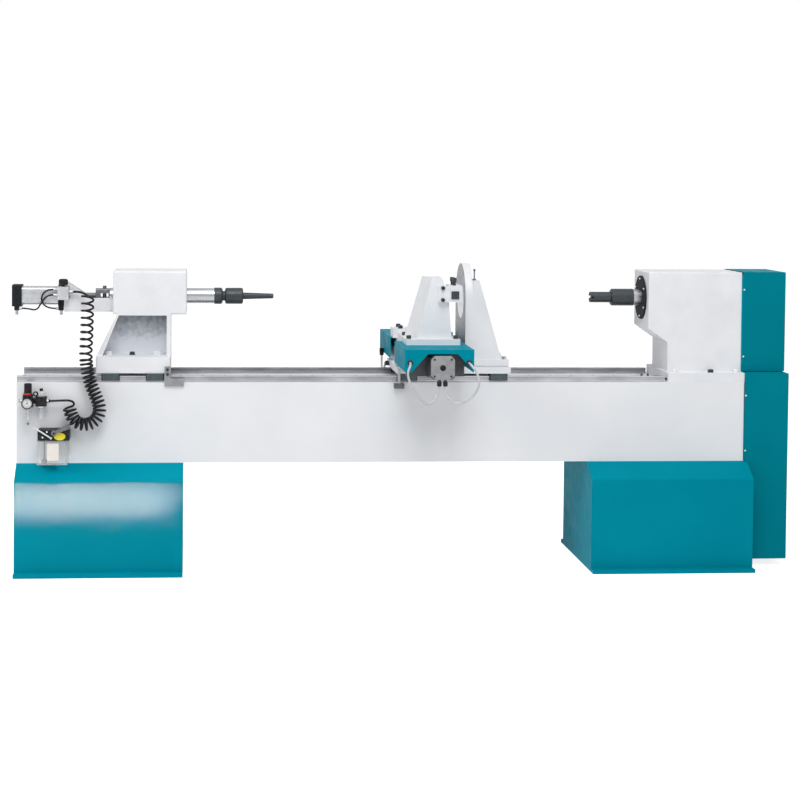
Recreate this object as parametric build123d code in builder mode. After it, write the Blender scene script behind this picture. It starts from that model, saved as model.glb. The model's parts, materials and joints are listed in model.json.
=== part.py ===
from build123d import *
import os
from math import cos, floor, pi, radians, sin, sqrt, tan

os.makedirs("parts", exist_ok=True)

# A CNC wood lathe, in millimetres. X runs along the bed towards the headstock, Y away from
# the side that carries the air unit, and Z up from the floor. The origin is on the floor,
# under the middle of the machine.

# Fits
CLEARANCE = 0.3
RUNNING_FIT = 0.05

# Stands
STAND_HEIGHT = 393
STAND_LENGTH = 602
STAND_DEPTH = 500
STAND_SHOULDER = 340
STAND_SHEET = 5
STAND_FOLD = 8
STAND_OVERHANG = 13
FOOT_DEPTH = 576
FOOT_THICKNESS = 13

# Bed and guide rails
BED_LENGTH = 2678
BED_WIDTH = 326
BED_HEIGHT = 293
BED_WALL = 12
BED_EDGE = 3
TROUGH_WIDTH = 104
TROUGH_DEPTH = 104
TROUGH_END = 15
TROUGH_STOP = 120
RAIL_WIDTH = 20
RAIL_HEIGHT = 22
RAIL_WAIST = 2.5
RAIL_HEAD_GAP = 11
RAIL_SPACING = 280
BLOCK_LENGTH = 60
BLOCK_WIDTH = 40
BLOCK_TOP = 32
BLOCK_LIFT = 5

# Headstock and spindle
AXIS_HEIGHT = 990
HEAD_LENGTH = 353
HEAD_WIDTH = 222
HEAD_ABOVE_AXIS = 101
NOSE_BELOW_AXIS = 109
UNDERCUT_DROP = 52
COLUMN_LENGTH = 279
COLUMN_WALL = 18
HEAD_FLANGE_LENGTH = 288
HEAD_FLANGE_THICKNESS = 34
HEAD_EDGE = 5
BEARING_CAP_DIAMETER = 164
BEARING_CAP_THICKNESS = 6
BEARING_CAP_ROOM = 2
BEARING_DIAMETER = 110
BEARING_WIDTH = 30
SPINDLE_DIAMETER = 60
HEAD_BORE_ROOM = 10
NOSE_DIAMETER = 62
NOSE_LENGTH = 35
SPINDLE_TAIL = 130
DRIVE_BODY_DIAMETER = 64
DRIVE_BODY_LENGTH = 84
DRIVE_TIP_DIAMETER = 40
DRIVE_TIP_LENGTH = 79
DRIVE_TOOTH_DEPTH = 12
DRIVE_CUP_SHARE = 0.7
DRIVE_SLOT_WIDTH = 9
DRIVE_PIN_DIAMETER = 12

# Belt drive and its covers
BELT_PLANE = 85
BELT_WIDTH = 44
BELT_THICKNESS = 6
PULLEY_WIDTH = 50
PULLEY_LIP = 3
PULLEY_LIP_HEIGHT = 8
SPINDLE_PULLEY_RADIUS = 75
MOTOR_PULLEY_RADIUS = 55
MOTOR_AXIS_HEIGHT = 215
MOTOR_SHAFT_DIAMETER = 28
MOTOR_SHAFT_GRIP = 30
MOTOR_FLANGE_DIAMETER = 200
MOTOR_FLANGE_THICKNESS = 12
MOTOR_BODY_DIAMETER = 170
MOTOR_BODY_LENGTH = 230
MOTOR_COWL_LENGTH = 45
MOTOR_COWL_SHARE = 1.04
MOTOR_BOX_SIZE = 95
MOTOR_BOX_RISE = 40
SHAFT_HOLE_DIAMETER = 60
UPPER_COVER_LENGTH = 163
UPPER_COVER_WIDTH = 230
UPPER_COVER_ABOVE_AXIS = 103
COVER_GAP = 2
LOWER_COVER_LENGTH = 167
LOWER_COVER_WIDTH = 336
LOWER_COVER_BOTTOM = 27
COVER_SHEET = 3
COVER_EDGE = 5
SEAL_THICKNESS = 4
SEAL_WIDTH = 10

# Tailstock
TAIL_INSET = 342
TAIL_LENGTH = 269
TAIL_WIDTH = 210
TAIL_ABOVE_AXIS = 96
TAIL_BELOW_AXIS = 62
TAIL_EDGE = 6
PEDESTAL_RIGHT_INSET = 58
PEDESTAL_LEFT_INSET = 14
PEDESTAL_SPREAD = 59
PEDESTAL_WALL = 15
PEDESTAL_TOE = 22
PEDESTAL_WEB = 30
PEDESTAL_ROOF = 4
SLAB_WIDTH = 310
SLAB_THICKNESS = 59
TAIL_BLOCK_INSET_LEFT = 24
TAIL_BLOCK_INSET_RIGHT = 26
CLAMP_PLATE_WIDTH = 21
CLAMP_PLATE_TOP = 25
CLAMP_FOOT_LENGTH = 70
CLAMP_FOOT_HEIGHT = 28
CLAMP_FOOT_DROP = 13
CLAMP_THICKNESS = 8
QUILL_DIAMETER = 57
QUILL_REACH = 101
QUILL_TAIL = 14
COLLAR_DIAMETER = 61
COLLAR_LENGTH = 31
COLLAR_CHAMFER = 5
NECK_DIAMETER = 36
NECK_LENGTH = 9
SPIGOT_DIAMETER = 24
SPIGOT_LENGTH = 34
CENTRE_BODY_DIAMETER = 60
CENTRE_BODY_LENGTH = 67
CENTRE_BODY_ROUND = 7
CENTRE_PIN_LENGTH = 113
CENTRE_PIN_ROOT = 25
CENTRE_PIN_END = 18

# Air cylinder and hand valve
CYLINDER_OVERHANG = 29
CAP_SIZE = 79
CAP_ROUND = 8
REAR_CAP_LENGTH = 35
TUBE_LENGTH = 133
TUBE_SIZE = 66
TUBE_ROUND = 12
TUBE_BORE = 56
TUBE_GROOVE_WIDTH = 5
TUBE_GROOVE_DEPTH = 2
TUBE_GROOVE_SPACING = 20
FRONT_CAP_LENGTH = 22
PORT_SIZE = 18
PORT_DROP = 14
PISTON_LENGTH = 15
PISTON_SETBACK = 6
ROD_DIAMETER = 20
ROD_ROOM = 2
CLEVIS_LENGTH = 53
CLEVIS_WIDTH = 44
CLEVIS_HEIGHT = 52
CLEVIS_SLOT = 18
CLEVIS_SLOT_LENGTH = 30
CLEVIS_PIN_DIAMETER = 14
CLEVIS_PIN_HEAD = 10
BRACKET_WIDTH = 78
BRACKET_CHEEK = 8
BRACKET_FLOOR = 10
BRACKET_END = 12
BRACKET_DROP = 58
BRACKET_RISE = 49
BRACKET_SIDE_DROP = 7
BRACKET_GUSSET_LENGTH = 98
VALVE_LENGTH = 43
VALVE_DEPTH = 36
VALVE_HEIGHT = 48
VALVE_OFFSET = 1
VALVE_RISE = 12
KNOB_DIAMETER = 34
KNOB_HEIGHT = 21
KNOB_TRAVEL = 7
KNOB_STEM_DIAMETER = 12
KNOB_STEM_DEPTH = 18
KNOB_ROUND = 7
UPPER_PORT_DROP = 11
LOWER_PORT_DROP = 31
RIGHT_PORT_DROP = 19
PUSH_FITTING_DIAMETER = 13
PUSH_FITTING_LENGTH = 14
PORT_FITTING_DIAMETER = 11
PORT_FITTING_LENGTH = 10
NIPPLE_DROP = 16

# Carriage
CARRIAGE_INSET = 1500
CARRIAGE_LEFT_HALF = 122
CARRIAGE_RIGHT_REACH = 300
SADDLE_WIDTH = 330
SADDLE_THICKNESS = 24
SADDLE_BLOCK_INSET = 14
NUT_LENGTH = 70
NUT_WIDTH = 70
NUT_BELOW_SCREW = 28
CARRIAGE_SCREW_DIAMETER = 25
CARRIAGE_SCREW_DEPTH = 52
SCREW_SUPPORT_LENGTH = 30
SCREW_SUPPORT_WIDTH = 80
SCREW_SUPPORT_ABOVE = 30
STEPPER_SIZE = 86
STEPPER_LENGTH = 114
STEPPER_CORNER = 11
STEPPER_FLANGE = 10
STEPPER_END_CAP = 16
STEPPER_GROOVE = 1
STEPPER_HUB_DIAMETER = 22
STEPPER_HUB_DEPTH = 2
LEAD_DROP = 12
LEAD_WALL = 2
SCREW_MOTOR_INSET = 270
SCREW_MOTOR_PLATE = 12
SCREW_MOTOR_PLATE_WIDTH = 98
CROSS_BED_WIDTH = 210
CROSS_BED_WALL = 45
CROSS_BED_WEB = 10
CROSS_BED_HEIGHT = 53
CROSS_BED_FRONT = 310
CROSS_BED_REAR = 330
CROSS_PLATE_END = 14
CROSS_END_RISE = 17
CROSS_RAIL_WIDTH = 15
CROSS_RAIL_HEIGHT = 14
CROSS_RAIL_END_GAP = 20
CROSS_SCREW_DIAMETER = 20
CROSS_SCREW_OFFSET = 12
CROSS_SCREW_RISE = 25
SWITCH_LENGTH = 37
SWITCH_DEPTH = 20
SWITCH_HEIGHT = 18
SWITCH_DROP = 35
SWITCH_PLATE_WIDTH = 8
SWITCH_PLATE_DEPTH = 15
SWITCH_PLATE_RISE = 17
SWITCH_PLATE_INSET = 4

# Steady rest
STEADY_BORE = 160
STEADY_RADIUS = 126
STEADY_INSET = 135
STEADY_PLATE = 29
STEADY_CHEEK = 30
STEADY_SHOULDER = 23
STEADY_SHOULDER_RISE = 68
STEADY_TOE = 107
STEADY_BASE_LENGTH = 160
STEADY_BASE_WIDTH = 300
STEADY_BASE_THICKNESS = 26
STEADY_PAD = 3
STEADY_PAD_INSET = 3

# Cross slide, its covers and the tool tower
CROSS_PLATE_WIDTH = 196
CROSS_PLATE_FRONT = 255
CROSS_PLATE_REAR = 127
CROSS_PLATE_THICKNESS = 21
CROSS_PLATE_GAP = 36
CROSS_BAR_WIDTH = 97
CROSS_BAR_RISE = 14
CROSS_BAR_LUG = 16
CROSS_BLOCK_LENGTH = 50
CROSS_BLOCK_WIDTH = 34
CROSS_BLOCK_LIFT = 4
CROSS_BLOCK_FRONT = -85
CROSS_BLOCK_REAR = 0
CROSS_NUT_LENGTH = 60
CROSS_NUT_WIDTH = 44
CROSS_NUT_FRONT = -50
CROSS_NUT_BELOW = 13
CROSS_REACH = 428
CROSS_COVER_WIDTH = 245
CROSS_COVER_SHEET = 3
CROSS_COVER_DEPTH = 79
FRONT_COVER_END = -94
REAR_COVER_START = 59
CUTOUT_TOP_DROP = 15
CUTOUT_TOP_WIDTH = 106
CUTOUT_SPREAD = 58
CABLE_EXIT_DROP = 46
CABLE_EXIT_INSET = 18
TOWER_ABOVE_AXIS = 85
TOWER_FRONT = 235
TOWER_DEPTH = 100
TOWER_FOOT_LEFT = 57
TOWER_FOOT_RIGHT = 70
TOWER_WAIST_RIGHT = 58
TOWER_TOP_LEFT = 4
TOWER_TOP_RIGHT = 33
TOWER_TOP_FLARE = 24
TOWER_FOOT_FLARE = 35
HOLDER_EAR = 42
HOLDER_EAR_THICKNESS = 18
HOLDER_WIDTH = 44
HOLDER_HEIGHT = 59
HOLDER_LENGTH = 112
HOLDER_GAP = 1
HOLDER_OVERHANG = 27
HOLDER_DROP = 3
TOOL_SIZE = 28
TOOL_LENGTH = 166
TOOL_TIP = 12
TOOL_OVERHANG = 4
TOOL_TIP_WIDTH = 6
TOOL_DROP = 4
TOOL_OFFSET = 4
BOLT_HEAD_DIAMETER = 18
BOLT_HEAD_HEIGHT = 12
BOLT_EDGE = 12
EAR_BOLT_DIAMETER = 14
EAR_BOLT_HEIGHT = 10
EAR_BOLT_SPACING = 43
CLAMP_SCREW_DIAMETER = 10
CLAMP_SCREW_SHANK = 12
CLAMP_SCREW_HEAD = 16
CLAMP_SCREW_SPACING = 50

# Air unit on the bed's front
AIR_UNIT_INSET = 27
AIR_UNIT_DROP = 63
REGULATOR_SIZE = 35
REGULATOR_BELOW = 21
REGULATOR_ABOVE = 21
BONNET_DIAMETER = 28
BONNET_HEIGHT = 9
REGULATOR_KNOB_DIAMETER = 27
REGULATOR_KNOB_HEIGHT = 33
KNOB_FLUTES = 16
KNOB_FLUTE_DEPTH = 1.2
KNOB_FLUTE_SHARE = 0.75
REGULATOR_KNOB_CHAMFER = 2
AIR_LINK_LENGTH = 11
AIR_LINK_HEIGHT = 18
AIR_STANDOFF = 15
LUBRICATOR_SIZE = 38
LUBRICATOR_BELOW = 18
LUBRICATOR_ABOVE = 16
DOME_DIAMETER = 24
DOME_HEIGHT = 20
DRIP_KNOB_DIAMETER = 13
DRIP_KNOB_HEIGHT = 9
BOWL_DIAMETER = 26
BOWL_HEIGHT = 47
BOWL_WALL = 2
DRAIN_DIAMETER = 8
DRAIN_LENGTH = 20
NIPPLE_DIAMETER = 13
NIPPLE_LENGTH = 14
NIPPLE_BORE = 8
INLET_DEPTH = 6
OUTLET_LENGTH = 11
GAUGE_DIAMETER = 40
GAUGE_DEPTH = 24
GAUGE_DROP = 5
GAUGE_RIM = 2
GAUGE_RECESS = 5
GAUGE_PIN_DIAMETER = 3
GAUGE_PIN_LENGTH = 4
NEEDLE_LENGTH = 14
NEEDLE_WIDTH = 1.6
NEEDLE_THICKNESS = 1
NEEDLE_HUB_DIAMETER = 5

# Manual oil pump on the bed's front
PUMP_INSET = 82
PUMP_LENGTH = 112
PUMP_DEPTH = 70
PUMP_HEIGHT = 37
PUMP_RISE = 92
PUMP_ROUND = 3
TANK_OVERLAP = 5
TANK_LENGTH = 112
TANK_DEPTH = 66
TANK_HEIGHT = 89
TANK_WALL = 2.5
TANK_ROUND = 7
LEVER_PIVOT_INSET = 58
LEVER_PIVOT_RISE = 27
LEVER_HUB_DIAMETER = 20
LEVER_LENGTH = 62
LEVER_ROOT = 9
LEVER_GRIP = 20
LEVER_THICKNESS = 7
LEVER_RISE_DEGREES = 25
LEVER_PIN_DIAMETER = 8
LEVER_PIN_ROOT = 2

# Hoses and cables
AIR_HOSE_DIAMETER = 8
COIL_RADIUS = 21
LOOP_RADIUS = 54
LOOSE_TURNS = 9
LOOSE_PITCH = 27
TIGHT_TURNS = 24
HOSE_SAMPLES = 2400
CYLINDER_HOSE_DIAMETER = 6
CABLE_DIAMETER = 8
CONDUIT_DIAMETER = 8
GLAND_SIZE = 16
COVER_GLAND_Y = 283
SADDLE_GLAND_Y = 88

# Places worked out from the sizes above
half_length = (CYLINDER_OVERHANG + BED_LENGTH + LOWER_COVER_LENGTH) / 2
bed_left = CYLINDER_OVERHANG - half_length
bed_right = bed_left + BED_LENGTH
bed_top = STAND_HEIGHT + BED_HEIGHT
bed_front = -BED_WIDTH / 2
rail_top = bed_top + RAIL_HEIGHT
rail_right = bed_right - HEAD_FLANGE_LENGTH - RAIL_HEAD_GAP
block_top = bed_top + BLOCK_TOP
right_stand_end = bed_right + STAND_OVERHANG
head_left = bed_right - HEAD_LENGTH
column_left = bed_right - COLUMN_LENGTH
nose_left = head_left - NOSE_LENGTH
nose_bottom = AXIS_HEIGHT - NOSE_BELOW_AXIS
head_flange_top = bed_top + HEAD_FLANGE_THICKNESS
lower_cover_top = head_flange_top
upper_cover_bottom = lower_cover_top + COVER_GAP
upper_cover_top = AXIS_HEIGHT + UPPER_COVER_ABOVE_AXIS
upper_cover_left = bed_right + SEAL_THICKNESS
upper_cover_right = upper_cover_left + UPPER_COVER_LENGTH
belt_x = bed_right + BELT_PLANE
trough_left = bed_left + TROUGH_END
trough_floor = bed_top - TROUGH_DEPTH
screw_level = bed_top - CARRIAGE_SCREW_DEPTH
screw_motor_left = bed_right - SCREW_MOTOR_INSET
tail_left = bed_left + TAIL_INSET
tail_right = tail_left + TAIL_LENGTH
tail_bottom = AXIS_HEIGHT - TAIL_BELOW_AXIS
slab_top = block_top + SLAB_THICKNESS
slab_left = tail_left - PEDESTAL_SPREAD
slab_right = tail_right - PEDESTAL_RIGHT_INSET
quill_left = tail_left - QUILL_TAIL
quill_right = tail_right + QUILL_REACH
collar_right = quill_right + COLLAR_LENGTH
centre_left = collar_right + NECK_LENGTH
cylinder_left = bed_left - CYLINDER_OVERHANG
tube_left = cylinder_left + REAR_CAP_LENGTH
front_cap_left = tube_left + TUBE_LENGTH
bracket_left = front_cap_left + FRONT_CAP_LENGTH
clevis_left = quill_left - CLEVIS_LENGTH
cross_x = bed_left + CARRIAGE_INSET
saddle_left = cross_x - CARRIAGE_LEFT_HALF
saddle_right = cross_x + CARRIAGE_RIGHT_REACH
saddle_top = block_top + SADDLE_THICKNESS
cross_bed_top = saddle_top + CROSS_BED_HEIGHT
cross_screw_x = cross_x + CROSS_SCREW_OFFSET
cross_screw_level = saddle_top + CROSS_SCREW_RISE
cross_rail_x = CROSS_BED_WIDTH / 2 - CROSS_BED_WALL / 2
cross_plate_level = cross_bed_top + CROSS_PLATE_GAP
cross_plate_top = cross_plate_level + CROSS_PLATE_THICKNESS
cross_cover_bottom = cross_plate_level - CROSS_COVER_DEPTH
tower_top = AXIS_HEIGHT + TOWER_ABOVE_AXIS
holder_left = cross_x + TOWER_WAIST_RIGHT + HOLDER_GAP
holder_bottom = AXIS_HEIGHT - HOLDER_DROP
holder_front = -TOWER_FRONT - HOLDER_OVERHANG
tool_x = holder_left + HOLDER_WIDTH / 2 - TOOL_OFFSET
tool_level = holder_bottom + HOLDER_HEIGHT / 2 - TOOL_DROP
steady_left = cross_x + STEADY_INSET
steady_back = steady_left + STEADY_PLATE
steady_base_top = saddle_top + STEADY_BASE_THICKNESS
regulator_x = bed_left + AIR_UNIT_INSET + REGULATOR_SIZE / 2
air_unit_y = bed_front - AIR_STANDOFF - LUBRICATOR_SIZE / 2
air_link_left = regulator_x + REGULATOR_SIZE / 2
lubricator_x = air_link_left + AIR_LINK_LENGTH + LUBRICATOR_SIZE / 2
air_unit_level = bed_top - AIR_UNIT_DROP
bonnet_bottom = air_unit_level + REGULATOR_ABOVE
gauge_level = air_unit_level - GAUGE_DROP
gauge_back = air_unit_y - REGULATOR_SIZE / 2
pump_left = bed_left + PUMP_INSET
pump_level = STAND_HEIGHT + PUMP_RISE
pump_front = bed_front - PUMP_DEPTH
lever_pivot_x = pump_left + LEVER_PIVOT_INSET
lever_pivot_z = pump_level + LEVER_PIVOT_RISE
valve_left = front_cap_left - VALVE_OFFSET
valve_right = valve_left + VALVE_LENGTH
valve_back = -CAP_SIZE / 2
valve_y = valve_back - VALVE_DEPTH / 2
valve_bottom = AXIS_HEIGHT - VALVE_RISE
valve_top = valve_bottom + VALVE_HEIGHT
upper_port = valve_top - UPPER_PORT_DROP
lower_port = valve_top - LOWER_PORT_DROP
right_port = valve_top - RIGHT_PORT_DROP
port_bottom = AXIS_HEIGHT - CAP_SIZE / 2 - PORT_DROP
port_level = port_bottom + PORT_DROP / 2
port_y = (PORT_SIZE - CAP_SIZE) / 2
rear_port_x = cylinder_left + REAR_CAP_LENGTH / 2
front_port_x = front_cap_left + FRONT_CAP_LENGTH / 2
rear_port_end = rear_port_x + PORT_SIZE / 2 + PORT_FITTING_LENGTH
front_port_end = front_port_x - PORT_SIZE / 2 - PORT_FITTING_LENGTH

ALONG_X = (1, 0, 0)
ALONG_Y = (0, 1, 0)
ALONG_Z = (0, 0, 1)


def save(piece, name):
    """Label one finished piece and write it."""
    piece.part.label = name
    export_step(piece.part, f"parts/{name}.step")


def box_span(x_span, y_span, z_span, mode=Mode.ADD):
    """A box between two values on each axis."""
    middle = tuple((low + high) / 2 for low, high in (x_span, y_span, z_span))
    sides = [high - low for low, high in (x_span, y_span, z_span)]
    with Locations(middle):
        Box(*sides, mode=mode)


def rod(start, axis, length, diameter, mode=Mode.ADD):
    """A cylinder from its start point along an axis."""
    with Locations(Plane(origin=start, z_dir=axis)):
        Cylinder(diameter / 2, length, align=(Align.CENTER, Align.CENTER, Align.MIN), mode=mode)


def centred(middle, size):
    """The span of a given size about a middle value."""
    return middle - size / 2, middle + size / 2


# Stands


def make_stand(stand_left):
    """A closed sheet-steel plinth, shouldered front and back, on a lipped foot plate."""
    with BuildPart() as stand:
        with BuildSketch(Plane.YZ.offset(stand_left)) as outline:
            with BuildLine():
                Polyline(
                    (-STAND_DEPTH / 2, FOOT_THICKNESS),
                    (-STAND_DEPTH / 2, STAND_SHOULDER),
                    (-BED_WIDTH / 2, STAND_HEIGHT),
                    (BED_WIDTH / 2, STAND_HEIGHT),
                    (STAND_DEPTH / 2, STAND_SHOULDER),
                    (STAND_DEPTH / 2, FOOT_THICKNESS),
                    close=True,
                )
            make_face()
            shoulders = outline.vertices().group_by(Axis.Y)[1]
            fillet(shoulders, STAND_FOLD)
        extrude(amount=STAND_LENGTH)
        with BuildSketch(Plane.YZ.offset(stand_left + STAND_SHEET)):
            add(outline.sketch_local)
            offset(amount=-STAND_SHEET)
        extrude(amount=STAND_LENGTH - 2 * STAND_SHEET, mode=Mode.SUBTRACT)
        stand_span = (stand_left, stand_left + STAND_LENGTH)
        box_span(stand_span, centred(0, FOOT_DEPTH), (0, FOOT_THICKNESS))
    return stand


left_stand = make_stand(bed_left)
save(left_stand, "left_stand")

right_plinth = make_stand(right_stand_end - STAND_LENGTH)
with BuildPart() as right_stand:
    add(right_plinth.part)
    shaft_hole_start = (right_stand_end - 2 * STAND_SHEET, 0, MOTOR_AXIS_HEIGHT)
    rod(shaft_hole_start, ALONG_X, 3 * STAND_SHEET, SHAFT_HOLE_DIAMETER, Mode.SUBTRACT)
save(right_stand, "right_stand")

# Bed with a trough between the ways

with BuildPart() as bed:
    with BuildSketch(Plane.YZ.offset(bed_left)):
        with Locations((0, STAND_HEIGHT + BED_HEIGHT / 2)):
            Rectangle(BED_WIDTH, BED_HEIGHT)
    extrude(amount=BED_LENGTH)
    fillet(bed.edges().filter_by(Axis.Z), BED_EDGE)
    with BuildSketch(Plane.YZ.offset(bed_left + TROUGH_END)):
        with Locations((0, STAND_HEIGHT + BED_HEIGHT / 2)):
            Rectangle(BED_WIDTH - 2 * BED_WALL, BED_HEIGHT - 2 * BED_WALL)
        with Locations((0, bed_top - (TROUGH_DEPTH + BED_WALL) / 2)):
            Rectangle(TROUGH_WIDTH + 2 * BED_WALL, TROUGH_DEPTH + BED_WALL, mode=Mode.SUBTRACT)
    extrude(amount=BED_LENGTH - 2 * TROUGH_END, mode=Mode.SUBTRACT)
    trough_span = (trough_left, bed_right - TROUGH_STOP)
    box_span(trough_span, centred(0, TROUGH_WIDTH), (trough_floor, bed_top), Mode.SUBTRACT)
save(bed, "bed")


def rail_section(width, height, waist):
    """Half-outline points of a guide rail with a waist on each side, foot at zero."""
    half = width / 2
    right = [
        (half, 0),
        (half, 0.40 * height),
        (half - waist, 0.50 * height),
        (half - waist, 0.64 * height),
        (half, 0.74 * height),
        (half, height),
    ]
    return right + [(-x, z) for x, z in reversed(right)]


with BuildPart() as bed_rails:
    with BuildSketch(Plane.YZ.offset(bed_left)):
        with Locations((-RAIL_SPACING / 2, bed_top), (RAIL_SPACING / 2, bed_top)):
            Polygon(*rail_section(RAIL_WIDTH, RAIL_HEIGHT, RAIL_WAIST), align=None)
    extrude(amount=rail_right - bed_left)
save(bed_rails, "bed_rails")


def guide_blocks(lefts):
    """Guide blocks straddling both bed rails, one pair for each left end given."""
    with BuildPart() as blocks:
        for block_left in lefts:
            for rail_y in (-RAIL_SPACING / 2, RAIL_SPACING / 2):
                length_span = (block_left, block_left + BLOCK_LENGTH)
                box_span(length_span, centred(rail_y, BLOCK_WIDTH), (bed_top + BLOCK_LIFT, block_top))
                slot_width = RAIL_WIDTH + 2 * CLEARANCE
                slot_span = (bed_top, rail_top + CLEARANCE)
                box_span(length_span, centred(rail_y, slot_width), slot_span, Mode.SUBTRACT)
    return blocks


# Headstock

with BuildPart() as headstock:
    with BuildSketch(Plane.XZ):
        with BuildLine():
            Polyline(
                (head_left, nose_bottom),
                (head_left, AXIS_HEIGHT + HEAD_ABOVE_AXIS),
                (bed_right, AXIS_HEIGHT + HEAD_ABOVE_AXIS),
                (bed_right, head_flange_top),
                (column_left, head_flange_top),
                (column_left, nose_bottom - UNDERCUT_DROP),
                close=True,
            )
        make_face()
    extrude(amount=HEAD_WIDTH / 2, both=True)
    fillet(headstock.edges().filter_by(Axis.X).group_by(Axis.Z)[-1], HEAD_EDGE)
    fillet(headstock.edges().filter_by(Axis.Z).group_by(Axis.X)[0], HEAD_EDGE)
    flange_span = (bed_right - HEAD_FLANGE_LENGTH, bed_right)
    box_span(flange_span, centred(0, BED_WIDTH), (bed_top, head_flange_top))
    hollow_span = (column_left + COLUMN_WALL, bed_right - COLUMN_WALL)
    hollow_top = AXIS_HEIGHT - BEARING_DIAMETER / 2 - COLUMN_WALL
    hollow_side = centred(0, HEAD_WIDTH - 2 * COLUMN_WALL)
    box_span(hollow_span, hollow_side, (head_flange_top, hollow_top), Mode.SUBTRACT)
    head_bore = (head_left, 0, AXIS_HEIGHT)
    rod(head_bore, ALONG_X, HEAD_LENGTH, SPINDLE_DIAMETER + HEAD_BORE_ROOM, Mode.SUBTRACT)
    rod(head_bore, ALONG_X, BEARING_WIDTH, BEARING_DIAMETER, Mode.SUBTRACT)
    rear_seat = (bed_right - BEARING_WIDTH, 0, AXIS_HEIGHT)
    rod(rear_seat, ALONG_X, BEARING_WIDTH, BEARING_DIAMETER, Mode.SUBTRACT)
save(headstock, "headstock")

with BuildPart() as bearing_cap:
    cap_start = (head_left - BEARING_CAP_THICKNESS, 0, AXIS_HEIGHT)
    rod(cap_start, ALONG_X, BEARING_CAP_THICKNESS, BEARING_CAP_DIAMETER)
    chamfer(bearing_cap.edges().filter_by(GeomType.CIRCLE).sort_by(Axis.X)[0], BEARING_CAP_THICKNESS / 4)
    rod(cap_start, ALONG_X, BEARING_CAP_THICKNESS, NOSE_DIAMETER + BEARING_CAP_ROOM, Mode.SUBTRACT)
save(bearing_cap, "bearing_cap")

# Bearings of the spindle and the far support of the carriage screw

with BuildPart() as shaft_bearings:
    for seat in (head_left, bed_right - BEARING_WIDTH):
        seat_start = (seat, 0, AXIS_HEIGHT)
        rod(seat_start, ALONG_X, BEARING_WIDTH, BEARING_DIAMETER - 2 * RUNNING_FIT)
        rod(seat_start, ALONG_X, BEARING_WIDTH, SPINDLE_DIAMETER + 2 * RUNNING_FIT, Mode.SUBTRACT)
    support_span = (trough_left, trough_left + SCREW_SUPPORT_LENGTH)
    support_height = (trough_floor, screw_level + SCREW_SUPPORT_ABOVE)
    box_span(support_span, centred(0, SCREW_SUPPORT_WIDTH), support_height)
    support_bore = (trough_left, 0, screw_level)
    bore_diameter = CARRIAGE_SCREW_DIAMETER + 2 * RUNNING_FIT
    rod(support_bore, ALONG_X, SCREW_SUPPORT_LENGTH, bore_diameter, Mode.SUBTRACT)
save(shaft_bearings, "shaft_bearings")

# Spindle with its pulley and the toothed drive centre

with BuildPart() as spindle_shaft:
    rod((nose_left, 0, AXIS_HEIGHT), ALONG_X, NOSE_LENGTH, NOSE_DIAMETER)
    rod((nose_left, 0, AXIS_HEIGHT), ALONG_X, NOSE_LENGTH + HEAD_LENGTH + SPINDLE_TAIL, SPINDLE_DIAMETER)
save(spindle_shaft, "spindle_shaft")

drive_body_left = nose_left - DRIVE_BODY_LENGTH
drive_tip_left = drive_body_left - DRIVE_TIP_LENGTH
with BuildPart() as drive_centre:
    with BuildSketch(Plane.XZ):
        with BuildLine():
            body_radius = DRIVE_BODY_DIAMETER / 2
            tip_radius = DRIVE_TIP_DIAMETER / 2
            bevel = (body_radius - tip_radius) / 3
            Polyline(
                (drive_tip_left, AXIS_HEIGHT),
                (drive_tip_left, AXIS_HEIGHT + tip_radius),
                (drive_body_left, AXIS_HEIGHT + tip_radius),
                (drive_body_left, AXIS_HEIGHT + body_radius - bevel),
                (drive_body_left + bevel, AXIS_HEIGHT + body_radius),
                (nose_left, AXIS_HEIGHT + body_radius),
                (nose_left, AXIS_HEIGHT),
                close=True,
            )
        make_face()
    revolve(axis=Axis((0, 0, AXIS_HEIGHT), ALONG_X))
    cup_diameter = DRIVE_TIP_DIAMETER * DRIVE_CUP_SHARE
    rod((drive_tip_left, 0, AXIS_HEIGHT), ALONG_X, DRIVE_TOOTH_DEPTH, cup_diameter, Mode.SUBTRACT)
    with BuildSketch(Plane.YZ.offset(drive_tip_left)):
        with Locations((0, AXIS_HEIGHT)):
            Rectangle(DRIVE_TIP_DIAMETER, DRIVE_SLOT_WIDTH)
            Rectangle(DRIVE_SLOT_WIDTH, DRIVE_TIP_DIAMETER)
    extrude(amount=DRIVE_TOOTH_DEPTH, mode=Mode.SUBTRACT)
    pin_start = Plane(origin=(drive_tip_left + DRIVE_TOOTH_DEPTH, 0, AXIS_HEIGHT), z_dir=(-1, 0, 0))
    with Locations(pin_start):
        Cone(
            DRIVE_PIN_DIAMETER / 2,
            DRIVE_PIN_DIAMETER / 12,
            DRIVE_TOOTH_DEPTH,
            align=(Align.CENTER, Align.CENTER, Align.MIN),
        )
save(drive_centre, "drive_centre")


def pulley_profile(level, radius, bore_radius):
    """Outline of a lipped pulley above its shaft, about the belt's plane."""
    outer_left, outer_right = centred(belt_x, PULLEY_WIDTH + 2 * PULLEY_LIP)
    inner_left, inner_right = centred(belt_x, PULLEY_WIDTH)
    Polyline(
        (outer_left, level + bore_radius),
        (outer_left, level + radius + PULLEY_LIP_HEIGHT),
        (inner_left, level + radius + PULLEY_LIP_HEIGHT),
        (inner_left, level + radius),
        (inner_right, level + radius),
        (inner_right, level + radius + PULLEY_LIP_HEIGHT),
        (outer_right, level + radius + PULLEY_LIP_HEIGHT),
        (outer_right, level + bore_radius),
        close=True,
    )


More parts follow.
